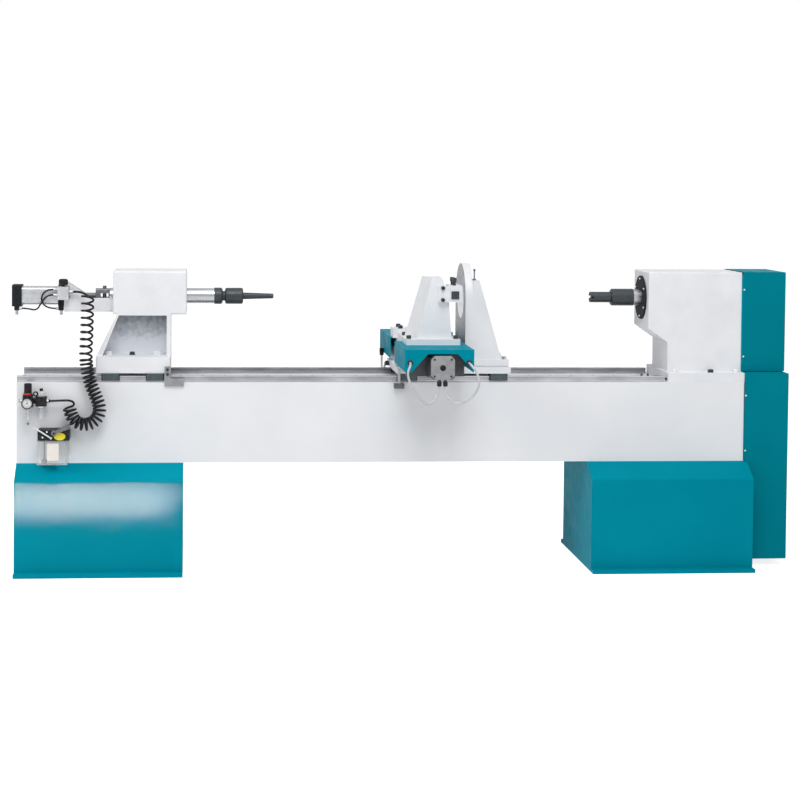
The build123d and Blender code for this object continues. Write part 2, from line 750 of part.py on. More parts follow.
with BuildPart() as spindle_pulley:
    with BuildSketch(Plane.XZ):
        with BuildLine():
            pulley_profile(AXIS_HEIGHT, SPINDLE_PULLEY_RADIUS, SPINDLE_DIAMETER / 2 + RUNNING_FIT)
        make_face()
    revolve(axis=Axis((0, 0, AXIS_HEIGHT), ALONG_X))
save(spindle_pulley, "spindle_pulley")

motor_flange_left = right_stand_end - STAND_SHEET - MOTOR_FLANGE_THICKNESS
with BuildPart() as motor_pulley:
    with BuildSketch(Plane.XZ):
        with BuildLine():
            pulley_profile(MOTOR_AXIS_HEIGHT, MOTOR_PULLEY_RADIUS, 0)
        make_face()
    revolve(axis=Axis((0, 0, MOTOR_AXIS_HEIGHT), ALONG_X))
    shaft_left = motor_flange_left - MOTOR_SHAFT_GRIP
    rod((shaft_left, 0, MOTOR_AXIS_HEIGHT), ALONG_X, belt_x - shaft_left, MOTOR_SHAFT_DIAMETER)
save(motor_pulley, "motor_pulley")


def belt_loop(gap):
    """A loop round both pulleys at a distance from their rims."""
    with BuildSketch(Plane.YZ.offset(belt_x - BELT_WIDTH / 2)) as loop:
        with BuildLine():
            CenterArc((0, AXIS_HEIGHT), SPINDLE_PULLEY_RADIUS + gap, 0, 360)
            CenterArc((0, MOTOR_AXIS_HEIGHT), MOTOR_PULLEY_RADIUS + gap, 0, 360)
        make_hull()
    return loop


with BuildPart() as drive_belt:
    outer_loop = belt_loop(CLEARANCE + BELT_THICKNESS)
    inner_loop = belt_loop(CLEARANCE)
    extrude(outer_loop.sketch, amount=BELT_WIDTH)
    extrude(inner_loop.sketch, amount=BELT_WIDTH, mode=Mode.SUBTRACT)
save(drive_belt, "drive_belt")

with BuildPart() as main_motor:
    flange_start = (motor_flange_left, 0, MOTOR_AXIS_HEIGHT)
    rod(flange_start, ALONG_X, MOTOR_FLANGE_THICKNESS, MOTOR_FLANGE_DIAMETER)
    rod(flange_start, (-1, 0, 0), MOTOR_BODY_LENGTH, MOTOR_BODY_DIAMETER)
    body_left = motor_flange_left - MOTOR_BODY_LENGTH
    cowl_diameter = MOTOR_BODY_DIAMETER * MOTOR_COWL_SHARE
    rod((body_left, 0, MOTOR_AXIS_HEIGHT), (-1, 0, 0), MOTOR_COWL_LENGTH, cowl_diameter)
    fillet(main_motor.edges().filter_by(GeomType.CIRCLE).sort_by(Axis.X)[0], MOTOR_COWL_LENGTH / 4)
    box_middle = motor_flange_left - MOTOR_BODY_LENGTH / 2
    box_top = MOTOR_AXIS_HEIGHT + MOTOR_BODY_DIAMETER / 2
    box_height = (MOTOR_AXIS_HEIGHT, box_top + MOTOR_BOX_RISE)
    box_span(centred(box_middle, MOTOR_BOX_SIZE), centred(0, MOTOR_BOX_SIZE), box_height)
    bore_start = (motor_flange_left - MOTOR_SHAFT_GRIP - CLEARANCE, 0, MOTOR_AXIS_HEIGHT)
    bore_length = MOTOR_SHAFT_GRIP + MOTOR_FLANGE_THICKNESS + CLEARANCE
    rod(bore_start, ALONG_X, bore_length, MOTOR_SHAFT_DIAMETER + 2 * RUNNING_FIT, Mode.SUBTRACT)
save(main_motor, "main_motor")

# Belt covers

with BuildPart() as upper_belt_cover:
    cover_span = (upper_cover_left, upper_cover_right)
    box_span(cover_span, centred(0, UPPER_COVER_WIDTH), (upper_cover_bottom, upper_cover_top))
    far_edges = upper_belt_cover.faces().sort_by(Axis.X)[-1].edges()
    fillet(far_edges.sort_by(Axis.Z)[1:], COVER_EDGE)
    inner_span = (upper_cover_left, upper_cover_right - COVER_SHEET)
    inner_side = centred(0, UPPER_COVER_WIDTH - 2 * COVER_SHEET)
    inner_height = (upper_cover_bottom, upper_cover_top - COVER_SHEET)
    box_span(inner_span, inner_side, inner_height, Mode.SUBTRACT)
save(upper_belt_cover, "upper_belt_cover")

with BuildPart() as cover_seal:
    seal_span = (bed_right, upper_cover_left)
    box_span(seal_span, centred(0, UPPER_COVER_WIDTH), (upper_cover_bottom, upper_cover_top))
    seal_inside = centred(0, UPPER_COVER_WIDTH - 2 * SEAL_WIDTH)
    box_span(seal_span, seal_inside, (upper_cover_bottom, upper_cover_top - SEAL_WIDTH), Mode.SUBTRACT)
save(cover_seal, "cover_seal")

with BuildPart() as lower_belt_cover:
    cover_right = bed_right + LOWER_COVER_LENGTH
    with BuildSketch(Plane.XZ):
        with BuildLine():
            Polyline(
                (bed_right, lower_cover_top),
                (cover_right, lower_cover_top),
                (cover_right, LOWER_COVER_BOTTOM),
                (right_stand_end, LOWER_COVER_BOTTOM),
                (right_stand_end, STAND_HEIGHT),
                (bed_right, STAND_HEIGHT),
                close=True,
            )
        make_face()
    extrude(amount=LOWER_COVER_WIDTH / 2, both=True)
    fillet(lower_belt_cover.faces().sort_by(Axis.X)[-1].edges(), COVER_EDGE)
    with BuildSketch(Plane.XZ):
        with BuildLine():
            Polyline(
                (bed_right, lower_cover_top - COVER_SHEET),
                (cover_right - COVER_SHEET, lower_cover_top - COVER_SHEET),
                (cover_right - COVER_SHEET, LOWER_COVER_BOTTOM + COVER_SHEET),
                (right_stand_end, LOWER_COVER_BOTTOM + COVER_SHEET),
                (right_stand_end, STAND_HEIGHT + COVER_SHEET),
                (bed_right, STAND_HEIGHT + COVER_SHEET),
                close=True,
            )
        make_face()
    extrude(amount=LOWER_COVER_WIDTH / 2 - COVER_SHEET, both=True, mode=Mode.SUBTRACT)
    slot_length = PULLEY_WIDTH + 4 * PULLEY_LIP
    slot_width = UPPER_COVER_WIDTH - 8 * COVER_SHEET
    slot_height = (lower_cover_top - 2 * COVER_SHEET, lower_cover_top)
    box_span(centred(belt_x, slot_length), centred(0, slot_width), slot_height, Mode.SUBTRACT)
save(lower_belt_cover, "lower_belt_cover")


# Carriage screw and stepper motors


def stepper(plane):
    """A square stepper motor standing on its front flange's plane, with notched corners."""
    with BuildPart() as motor:
        with BuildSketch(plane):
            Rectangle(STEPPER_SIZE, STEPPER_SIZE)
        extrude(amount=STEPPER_FLANGE)
        with BuildSketch(plane.offset(STEPPER_FLANGE)) as body_section:
            Rectangle(STEPPER_SIZE, STEPPER_SIZE)
            chamfer(body_section.vertices(), STEPPER_CORNER)
        extrude(amount=STEPPER_LENGTH - STEPPER_FLANGE)
        with BuildSketch(plane.offset(STEPPER_LENGTH - STEPPER_END_CAP)):
            Rectangle(STEPPER_SIZE, STEPPER_SIZE)
            inner_size = STEPPER_SIZE - 2 * STEPPER_GROOVE
            Rectangle(inner_size, inner_size, mode=Mode.SUBTRACT)
        extrude(amount=STEPPER_GROOVE, mode=Mode.SUBTRACT)
        with BuildSketch(plane.offset(STEPPER_LENGTH)):
            Circle(STEPPER_HUB_DIAMETER / 2)
        extrude(amount=-STEPPER_HUB_DEPTH, mode=Mode.SUBTRACT)
    return motor.part


screw_motor_front = screw_motor_left + SCREW_MOTOR_PLATE
with BuildPart() as carriage_motor:
    motor_plane = Plane(origin=(screw_motor_front, 0, screw_level), z_dir=ALONG_X)
    add(stepper(motor_plane))
    plate_span = (screw_motor_left, screw_motor_front)
    plate_height = (trough_floor, screw_level + STEPPER_SIZE / 2)
    box_span(plate_span, centred(0, SCREW_MOTOR_PLATE_WIDTH), plate_height)
    plate_bore = (screw_motor_left, 0, screw_level)
    rod(plate_bore, ALONG_X, SCREW_MOTOR_PLATE, CARRIAGE_SCREW_DIAMETER + 2 * RUNNING_FIT, Mode.SUBTRACT)
save(carriage_motor, "carriage_motor")

with BuildPart() as carriage_screw:
    screw_start = trough_left + CLEARANCE
    screw_end = screw_motor_front - CLEARANCE
    rod((screw_start, 0, screw_level), ALONG_X, screw_end - screw_start, CARRIAGE_SCREW_DIAMETER)
save(carriage_screw, "carriage_screw")

# Tailstock

with BuildPart() as tailstock_casting:
    body_height = (tail_bottom, AXIS_HEIGHT + TAIL_ABOVE_AXIS)
    box_span((tail_left, tail_right), centred(0, TAIL_WIDTH), body_height)
    fillet(tailstock_casting.edges().filter_by(Axis.X), TAIL_EDGE)
    fillet(tailstock_casting.edges().filter_by(Axis.Z), TAIL_EDGE)
    pedestal_left = tail_left + PEDESTAL_LEFT_INSET
    with BuildSketch(Plane.XZ):
        with BuildLine():
            Polyline(
                (pedestal_left, tail_bottom + TAIL_EDGE),
                (slab_right, tail_bottom + TAIL_EDGE),
                (slab_right, slab_top),
                (slab_left, slab_top),
                (pedestal_left, tail_bottom),
                close=True,
            )
        make_face()
    extrude(amount=TAIL_WIDTH / 2, both=True)
    pocket_top = tail_bottom - PEDESTAL_ROOF
    for side in (-1, 1):
        with BuildSketch(Plane.XZ.offset(side * TAIL_WIDTH / 2)):
            with BuildLine():
                Polyline(
                    (pedestal_left + PEDESTAL_WALL / 2, pocket_top),
                    (slab_right - PEDESTAL_WALL, pocket_top),
                    (slab_right - PEDESTAL_WALL, slab_top),
                    (slab_left + PEDESTAL_TOE, slab_top),
                    close=True,
                )
            make_face()
        extrude(amount=-side * (TAIL_WIDTH - PEDESTAL_WEB) / 2, mode=Mode.SUBTRACT)
    quill_bore = (tail_left, 0, AXIS_HEIGHT)
    rod(quill_bore, ALONG_X, TAIL_LENGTH, QUILL_DIAMETER + 2 * RUNNING_FIT, Mode.SUBTRACT)
save(tailstock_casting, "tailstock_casting")

with BuildPart() as tailstock_slab:
    box_span((slab_left, slab_right), centred(0, SLAB_WIDTH), (block_top, slab_top))
    fillet(tailstock_slab.edges().filter_by(Axis.Z), TAIL_EDGE)
save(tailstock_slab, "tailstock_slab")

tail_block_lefts = (slab_left + TAIL_BLOCK_INSET_LEFT, slab_right - TAIL_BLOCK_INSET_RIGHT - BLOCK_LENGTH)
tailstock_blocks = guide_blocks(tail_block_lefts)
save(tailstock_blocks, "tailstock_blocks")

with BuildPart() as rail_clamp:
    clamp_left = slab_right - CLAMP_PLATE_WIDTH
    clamp_back = -SLAB_WIDTH / 2
    clamp_front = bed_front - CLEARANCE - CLAMP_THICKNESS
    foot_height = (bed_top - CLAMP_FOOT_DROP, bed_top - CLAMP_FOOT_DROP + CLAMP_FOOT_HEIGHT)
    foot_span = (clamp_left, clamp_left + CLAMP_FOOT_LENGTH)
    box_span(foot_span, (clamp_front, bed_front - CLEARANCE), foot_height)
    plate_height = (foot_height[0], block_top + CLAMP_PLATE_TOP)
    box_span((clamp_left, slab_right), (clamp_front, bed_front - CLEARANCE), plate_height)
    box_span((clamp_left, slab_right), (clamp_front, clamp_back), (block_top, plate_height[1]))
save(rail_clamp, "rail_clamp")

with BuildPart() as quill:
    rod((quill_left, 0, AXIS_HEIGHT), ALONG_X, quill_right - quill_left, QUILL_DIAMETER)
save(quill, "quill")

with BuildPart() as quill_collar:
    rod((quill_right, 0, AXIS_HEIGHT), ALONG_X, COLLAR_LENGTH, COLLAR_DIAMETER)
    chamfer(quill_collar.edges().filter_by(GeomType.CIRCLE).sort_by(Axis.X)[-1], COLLAR_CHAMFER)
    rod((collar_right, 0, AXIS_HEIGHT), ALONG_X, NECK_LENGTH - CLEARANCE, NECK_DIAMETER)
    rod((collar_right, 0, AXIS_HEIGHT), ALONG_X, NECK_LENGTH + SPIGOT_LENGTH, SPIGOT_DIAMETER)
save(quill_collar, "quill_collar")

with BuildPart() as live_centre:
    centre_right = centre_left + CENTRE_BODY_LENGTH
    rod((centre_left, 0, AXIS_HEIGHT), ALONG_X, CENTRE_BODY_LENGTH, CENTRE_BODY_DIAMETER)
    fillet(live_centre.edges().filter_by(GeomType.CIRCLE), CENTRE_BODY_ROUND)
    with Locations(Plane(origin=(centre_right, 0, AXIS_HEIGHT), z_dir=ALONG_X)):
        Cone(
            CENTRE_PIN_ROOT / 2,
            CENTRE_PIN_END / 2,
            CENTRE_PIN_LENGTH,
            align=(Align.CENTER, Align.CENTER, Align.MIN),
        )
    chamfer(live_centre.edges().filter_by(GeomType.CIRCLE).sort_by(Axis.X)[-1], CENTRE_PIN_END / 8)
    spigot_bore = SPIGOT_DIAMETER + 2 * RUNNING_FIT
    rod((centre_left, 0, AXIS_HEIGHT), ALONG_X, SPIGOT_LENGTH + CLEARANCE, spigot_bore, Mode.SUBTRACT)
save(live_centre, "live_centre")

# Air cylinder, its bracket and the rod that pushes the quill

with BuildPart() as cylinder_tube:
    with BuildSketch(Plane.YZ.offset(tube_left)):
        with Locations((0, AXIS_HEIGHT)):
            RectangleRounded(TUBE_SIZE, TUBE_SIZE, TUBE_ROUND)
            Circle(TUBE_BORE / 2, mode=Mode.SUBTRACT)
        groove_depth = TUBE_SIZE / 2 - TUBE_GROOVE_DEPTH / 2
        with Locations((0, AXIS_HEIGHT)):
            with PolarLocations(groove_depth, 4):
                with GridLocations(0, TUBE_GROOVE_SPACING, 1, 2):
                    Rectangle(TUBE_GROOVE_DEPTH, TUBE_GROOVE_WIDTH, mode=Mode.SUBTRACT)
    extrude(amount=TUBE_LENGTH)
save(cylinder_tube, "cylinder_tube")

with BuildPart() as cylinder_caps:
    for cap_left, cap_length in ((cylinder_left, REAR_CAP_LENGTH), (front_cap_left, FRONT_CAP_LENGTH)):
        with BuildSketch(Plane.YZ.offset(cap_left)):
            with Locations((0, AXIS_HEIGHT)):
                RectangleRounded(CAP_SIZE, CAP_SIZE, CAP_ROUND)
        extrude(amount=cap_length)
        port_span = centred(cap_left + cap_length / 2, PORT_SIZE)
        box_span(port_span, centred(port_y, PORT_SIZE), (port_bottom, AXIS_HEIGHT - CAP_SIZE / 4))
    rod_hole = (front_cap_left, 0, AXIS_HEIGHT)
    rod(rod_hole, ALONG_X, FRONT_CAP_LENGTH, ROD_DIAMETER + 2 * RUNNING_FIT, Mode.SUBTRACT)
save(cylinder_caps, "cylinder_caps")

with BuildPart() as rod_clevis:
    piston_right = front_cap_left - PISTON_SETBACK
    piston_left = piston_right - PISTON_LENGTH
    rod((piston_left, 0, AXIS_HEIGHT), ALONG_X, PISTON_LENGTH, TUBE_BORE - 2 * RUNNING_FIT)
    rod((piston_left, 0, AXIS_HEIGHT), ALONG_X, clevis_left - piston_left, ROD_DIAMETER)
    clevis_height = centred(AXIS_HEIGHT, CLEVIS_HEIGHT)
    box_span((clevis_left, quill_left), centred(0, CLEVIS_WIDTH), clevis_height)
    fillet(rod_clevis.edges().filter_by(Axis.X), TAIL_EDGE)
    slot_span = (quill_left - CLEVIS_SLOT_LENGTH - TAIL_EDGE, quill_left - TAIL_EDGE)
    box_span(slot_span, centred(0, CLEVIS_WIDTH), centred(AXIS_HEIGHT, CLEVIS_SLOT), Mode.SUBTRACT)
    pin_x = quill_left - TAIL_EDGE - CLEVIS_SLOT_LENGTH / 2
    pin_length = CLEVIS_HEIGHT + CLEVIS_PIN_HEAD
    rod((pin_x, 0, clevis_height[0]), ALONG_Z, pin_length, CLEVIS_PIN_DIAMETER)
save(rod_clevis, "rod_clevis")

with BuildPart() as cylinder_bracket:
    bracket_bottom = AXIS_HEIGHT - BRACKET_DROP
    bracket_top = AXIS_HEIGHT + BRACKET_RISE
    side_top = AXIS_HEIGHT - BRACKET_SIDE_DROP
    with BuildSketch(Plane.XZ):
        with BuildLine():
            Polyline(
                (bracket_left, bracket_bottom),
                (tail_left, bracket_bottom),
                (tail_left, side_top),
                (bracket_left + BRACKET_GUSSET_LENGTH, side_top),
                (bracket_left + BRACKET_END, bracket_top),
                (bracket_left, bracket_top),
                close=True,
            )
        make_face()
    extrude(amount=BRACKET_WIDTH / 2, both=True)
    channel_span = (bracket_left + BRACKET_END, tail_left)
    channel_side = centred(0, BRACKET_WIDTH - 2 * BRACKET_CHEEK)
    channel_height = (bracket_bottom + BRACKET_FLOOR, bracket_top)
    box_span(channel_span, channel_side, channel_height, Mode.SUBTRACT)
    rod((bracket_left, 0, AXIS_HEIGHT), ALONG_X, BRACKET_END, ROD_DIAMETER + ROD_ROOM, Mode.SUBTRACT)
save(cylinder_bracket, "cylinder_bracket")

# Hand valve, its knob and the push-in fittings

knob_bottom = valve_top + KNOB_TRAVEL
knob_place = ((valve_left + valve_right) / 2, valve_y)
with BuildPart() as valve_body:
    box_span((valve_left, valve_right), (valve_back - VALVE_DEPTH, valve_back), (valve_bottom, valve_top))
    fillet(valve_body.edges().filter_by(Axis.Z), 3)
    stem_hole = (*knob_place, valve_top - KNOB_STEM_DEPTH - KNOB_TRAVEL)
    hole_length = KNOB_STEM_DEPTH + KNOB_TRAVEL
    rod(stem_hole, ALONG_Z, hole_length, KNOB_STEM_DIAMETER + 2 * RUNNING_FIT, Mode.SUBTRACT)
save(valve_body, "valve_body")

with BuildPart() as valve_knob:
    rod((*knob_place, knob_bottom), ALONG_Z, KNOB_HEIGHT, KNOB_DIAMETER)
    fillet(valve_knob.edges().filter_by(GeomType.CIRCLE).sort_by(Axis.Z)[-1], KNOB_ROUND)
    stem_start = (*knob_place, valve_top - KNOB_STEM_DEPTH)
    rod(stem_start, ALONG_Z, KNOB_STEM_DEPTH + KNOB_TRAVEL, KNOB_STEM_DIAMETER)
save(valve_knob, "valve_knob")

with BuildPart() as valve_fittings:
    for port in (upper_port, lower_port):
        rod((valve_left, valve_y, port), (-1, 0, 0), PUSH_FITTING_LENGTH, PUSH_FITTING_DIAMETER)
    rod((valve_right, valve_y, right_port), ALONG_X, PUSH_FITTING_LENGTH, PUSH_FITTING_DIAMETER)
    for port_x in (rear_port_x, front_port_x):
        rod((port_x, port_y, port_bottom), (0, 0, -1), NIPPLE_DROP, PORT_FITTING_DIAMETER)
    rear_face = (rear_port_x + PORT_SIZE / 2, port_y, port_level)
    rod(rear_face, ALONG_X, PORT_FITTING_LENGTH, PORT_FITTING_DIAMETER)
    front_face = (front_port_x - PORT_SIZE / 2, port_y, port_level)
    rod(front_face, (-1, 0, 0), PORT_FITTING_LENGTH, PORT_FITTING_DIAMETER)
save(valve_fittings, "valve_fittings")

# Saddle with the cross bed, the nut that the carriage screw drives and the guide blocks

with BuildPart() as saddle:
    saddle_height = (block_top, saddle_top)
    box_span((saddle_left, saddle_right), centred(0, SADDLE_WIDTH), saddle_height)
    with BuildSketch(Plane.XZ.offset(CROSS_BED_FRONT)):
        with Locations((cross_x, saddle_top + CROSS_BED_HEIGHT / 2)):
            Rectangle(CROSS_BED_WIDTH, CROSS_BED_HEIGHT)
        with Locations((cross_x, saddle_top + (CROSS_BED_HEIGHT + CROSS_BED_WEB) / 2)):
            channel_width = CROSS_BED_WIDTH - 2 * CROSS_BED_WALL
            Rectangle(channel_width, CROSS_BED_HEIGHT - CROSS_BED_WEB, mode=Mode.SUBTRACT)
    extrude(amount=-(CROSS_BED_FRONT + CROSS_BED_REAR))
    end_height = (cross_screw_level - STEPPER_SIZE / 2, cross_bed_top + CROSS_END_RISE)
    end_width = centred(cross_x, CROSS_BED_WIDTH)
    box_span(end_width, (-CROSS_BED_FRONT, CROSS_PLATE_END - CROSS_BED_FRONT), end_height)
    rear_plate = (CROSS_BED_REAR - CROSS_PLATE_END, CROSS_BED_REAR)
    box_span(end_width, rear_plate, (saddle_top, cross_bed_top))
    bearing_hole = CROSS_SCREW_DIAMETER + 2 * RUNNING_FIT
    for plate_start in (-CROSS_BED_FRONT, CROSS_BED_REAR - CROSS_PLATE_END):
        hole_start = (cross_screw_x, plate_start, cross_screw_level)
        rod(hole_start, ALONG_Y, CROSS_PLATE_END, bearing_hole, Mode.SUBTRACT)
    nut_height = (screw_level - NUT_BELOW_SCREW, block_top)
    box_span(centred(cross_x, NUT_LENGTH), centred(0, NUT_WIDTH), nut_height)
    nut_start = (cross_x - NUT_LENGTH / 2, 0, screw_level)
    rod(nut_start, ALONG_X, NUT_LENGTH, CARRIAGE_SCREW_DIAMETER + 2 * RUNNING_FIT, Mode.SUBTRACT)
    gland_span = (saddle_left - GLAND_SIZE, saddle_left)
    gland_height = centred((block_top + saddle_top) / 2, GLAND_SIZE)
    box_span(gland_span, centred(SADDLE_GLAND_Y, GLAND_SIZE), gland_height)
save(saddle, "saddle")

carriage_block_lefts = (saddle_left + SADDLE_BLOCK_INSET, saddle_right - SADDLE_BLOCK_INSET - BLOCK_LENGTH)
carriage_blocks = guide_blocks(carriage_block_lefts)
save(carriage_blocks, "carriage_blocks")

with BuildPart() as cross_rails:
    rail_start = CROSS_BED_FRONT - CROSS_RAIL_END_GAP
    rail_run = CROSS_BED_FRONT + CROSS_BED_REAR - 2 * CROSS_RAIL_END_GAP
    with BuildSketch(Plane.XZ.offset(rail_start)):
        with Locations((cross_x - cross_rail_x, cross_bed_top), (cross_x + cross_rail_x, cross_bed_top)):
            Polygon(*rail_section(CROSS_RAIL_WIDTH, CROSS_RAIL_HEIGHT, RAIL_WAIST / 2), align=None)
    extrude(amount=-rail_run)
save(cross_rails, "cross_rails")

lead_bottom = cross_screw_level - STEPPER_SIZE / 2 - LEAD_DROP
lead_y = STEPPER_LENGTH / 10 - CROSS_BED_FRONT - STEPPER_LENGTH
with BuildPart() as cross_motor:
    motor_place = (cross_screw_x, -CROSS_BED_FRONT, cross_screw_level)
    add(stepper(Plane(origin=motor_place, x_dir=ALONG_X, z_dir=(0, -1, 0))))
    for side in (-1, 1):
        lead_start = (cross_screw_x + side * STEPPER_SIZE / 8, lead_y, lead_bottom)
        rod(lead_start, ALONG_Z, LEAD_DROP + 1, CABLE_DIAMETER + 2 * LEAD_WALL)
save(cross_motor, "cross_motor")

with BuildPart() as cross_screw:
    cross_screw_start = -CROSS_BED_FRONT + CLEARANCE
    cross_screw_run = CROSS_BED_FRONT + CROSS_BED_REAR - 2 * CLEARANCE
    screw_from = (cross_screw_x, cross_screw_start, cross_screw_level)
    rod(screw_from, ALONG_Y, cross_screw_run, CROSS_SCREW_DIAMETER)
save(cross_screw, "cross_screw")

with BuildPart() as limit_switch:
    saddle_front = -SADDLE_WIDTH / 2
    plate_left = saddle_left + SWITCH_PLATE_INSET
    switch_top = block_top - SWITCH_DROP
    plate_span = (plate_left, plate_left + SWITCH_PLATE_WIDTH)
    plate_depth = (saddle_front - SWITCH_PLATE_DEPTH, saddle_front)
    box_span(plate_span, plate_depth, (switch_top, block_top + SWITCH_PLATE_RISE))
    switch_span = centred(plate_left + SWITCH_PLATE_WIDTH / 2, SWITCH_LENGTH)
    switch_depth = (saddle_front - SWITCH_DEPTH - CLEARANCE, saddle_front - CLEARANCE)
    box_span(switch_span, switch_depth, (switch_top - SWITCH_HEIGHT, switch_top))
save(limit_switch, "limit_switch")

with BuildPart() as steady_rest:
    base_span = (steady_left, steady_left + STEADY_BASE_LENGTH)
    base_height = (saddle_top + STEADY_PAD, steady_base_top)
    box_span(base_span, centred(0, STEADY_BASE_WIDTH), base_height)
    fillet(steady_rest.edges().filter_by(Axis.Z), TAIL_EDGE)
    pad_span = (base_span[0] + STEADY_PAD_INSET, base_span[1] - STEADY_PAD_INSET)
    pad_depth = centred(0, STEADY_BASE_WIDTH - 2 * STEADY_PAD_INSET)
    box_span(pad_span, pad_depth, (saddle_top, saddle_top + STEADY_PAD))
    with BuildSketch(Plane.YZ.offset(steady_left)):
        with Locations((0, AXIS_HEIGHT)):
            Circle(STEADY_RADIUS)
        with Locations((0, (AXIS_HEIGHT + steady_base_top) / 2)):
            Rectangle(2 * STEADY_RADIUS, AXIS_HEIGHT - steady_base_top)
    extrude(amount=STEADY_PLATE)
    shoulder_level = AXIS_HEIGHT + STEADY_SHOULDER_RISE
    with BuildSketch(Plane.XZ):
        with BuildLine():
            Polyline(
                (steady_back, steady_base_top),
                (steady_back + STEADY_TOE, steady_base_top),
                (steady_back + STEADY_SHOULDER, shoulder_level),
                (steady_back, shoulder_level),
                close=True,
            )
        make_face()
    extrude(amount=STEADY_RADIUS, both=True)
    inside_span = (steady_back, steady_back + STEADY_TOE)
    inside = centred(0, 2 * (STEADY_RADIUS - STEADY_CHEEK))
    box_span(inside_span, inside, (steady_base_top, shoulder_level), Mode.SUBTRACT)
    rod((steady_left, 0, AXIS_HEIGHT), ALONG_X, STEADY_PLATE, STEADY_BORE, Mode.SUBTRACT)
save(steady_rest, "steady_rest")

# Cross slide: plate on four blocks, its screw nut, covers, tool tower and tool

with BuildPart() as cross_plate:
    plate_span = centred(cross_x, CROSS_PLATE_WIDTH)
    plate_height = (cross_plate_level, cross_plate_top)
    box_span(plate_span, (-CROSS_PLATE_FRONT, CROSS_PLATE_REAR), plate_height)
    bar_span = (plate_span[0] - CROSS_BAR_LUG, plate_span[1])
    bar_side = (CROSS_PLATE_REAR - CROSS_BAR_WIDTH, CROSS_PLATE_REAR)
    box_span(bar_span, bar_side, (cross_plate_level, cross_plate_top + CROSS_BAR_RISE))
    for rail_x in (cross_x - cross_rail_x, cross_x + cross_rail_x):
        for block_front in (CROSS_BLOCK_FRONT, CROSS_BLOCK_REAR):
            length_span = (block_front, block_front + CROSS_BLOCK_LENGTH)
            block_height = (cross_bed_top + CROSS_BLOCK_LIFT, cross_plate_level)
            box_span(centred(rail_x, CROSS_BLOCK_WIDTH), length_span, block_height)
            slot = centred(rail_x, CROSS_RAIL_WIDTH + 2 * CLEARANCE)
            slot_height = (cross_bed_top, cross_bed_top + CROSS_RAIL_HEIGHT + CLEARANCE)
            box_span(slot, length_span, slot_height, Mode.SUBTRACT)
    nut_side = (CROSS_NUT_FRONT, CROSS_NUT_FRONT + CROSS_NUT_LENGTH)
    nut_height = (cross_screw_level - CROSS_NUT_BELOW, cross_plate_level)
    box_span(centred(cross_screw_x, CROSS_NUT_WIDTH), nut_side, nut_height)
    nut_start = (cross_screw_x, CROSS_NUT_FRONT, cross_screw_level)
    rod(nut_start, ALONG_Y, CROSS_NUT_LENGTH, CROSS_SCREW_DIAMETER + 2 * RUNNING_FIT, Mode.SUBTRACT)
save(cross_plate, "cross_plate")


def cross_cover(start, end):
    """An inverted sheet channel under the cross plate, between two values of Y."""
    cover_height = (cross_cover_bottom, cross_plate_level)
    box_span(centred(cross_x, CROSS_COVER_WIDTH), (start, end), cover_height)
    inner_width = centred(cross_x, CROSS_COVER_WIDTH - 2 * CROSS_COVER_SHEET)
    inner_height = (cross_cover_bottom, cross_plate_level - CROSS_COVER_SHEET)
    inner_run = (max(start, CROSS_COVER_SHEET - CROSS_REACH), min(end, CROSS_REACH - CROSS_COVER_SHEET))
    box_span(inner_width, inner_run, inner_height, Mode.SUBTRACT)


with BuildPart() as front_cover:
    cross_cover(-CROSS_REACH, FRONT_COVER_END)
    cutout_top = cross_plate_level - CUTOUT_TOP_DROP
    top_left, top_right = centred(cross_screw_x, CUTOUT_TOP_WIDTH)
    with BuildSketch(Plane.XZ.offset(CROSS_REACH)):
        with BuildLine():
            Polyline(
                (top_left - CUTOUT_SPREAD, cross_cover_bottom),
                (top_left, cutout_top),
                (top_right, cutout_top),
                (top_right + CUTOUT_SPREAD, cross_cover_bottom),
                close=True,
            )
        make_face()
    extrude(amount=-CROSS_COVER_SHEET, mode=Mode.SUBTRACT)
save(front_cover, "front_cover")

with BuildPart() as rear_cover:
    cross_cover(REAR_COVER_START, CROSS_REACH)
    cover_left_side, cover_right_side = centred(cross_x, CROSS_COVER_WIDTH)
    gland_span = (cover_left_side - GLAND_SIZE, cover_left_side)
    gland_height = (cross_cover_bottom, cross_cover_bottom + GLAND_SIZE)
    box_span(gland_span, centred(COVER_GLAND_Y, GLAND_SIZE), gland_height)
save(rear_cover, "rear_cover")


def tower_outline(foot_shift, top_shift):
    """Front view of the tower, its left edge moved out by a shift at the foot and at the top."""
    Polyline(
        (cross_x - TOWER_FOOT_LEFT - foot_shift, cross_plate_top),
        (cross_x + TOWER_FOOT_RIGHT, cross_plate_top),
        (cross_x + TOWER_WAIST_RIGHT, holder_bottom),
        (cross_x + TOWER_TOP_RIGHT, tower_top),
        (cross_x - TOWER_TOP_LEFT - top_shift, tower_top),
        close=True,
    )


with BuildPart() as tool_tower:
    with BuildSketch(Plane.XZ.offset(TOWER_FRONT)):
        with BuildLine():
            tower_outline(0, 0)
        make_face()
    with BuildSketch(Plane.XZ.offset(TOWER_FRONT - TOWER_DEPTH)):
        with BuildLine():
            tower_outline(TOWER_FOOT_FLARE, TOWER_TOP_FLARE)
        make_face()
    loft(ruled=True)
save(tool_tower, "tool_tower")

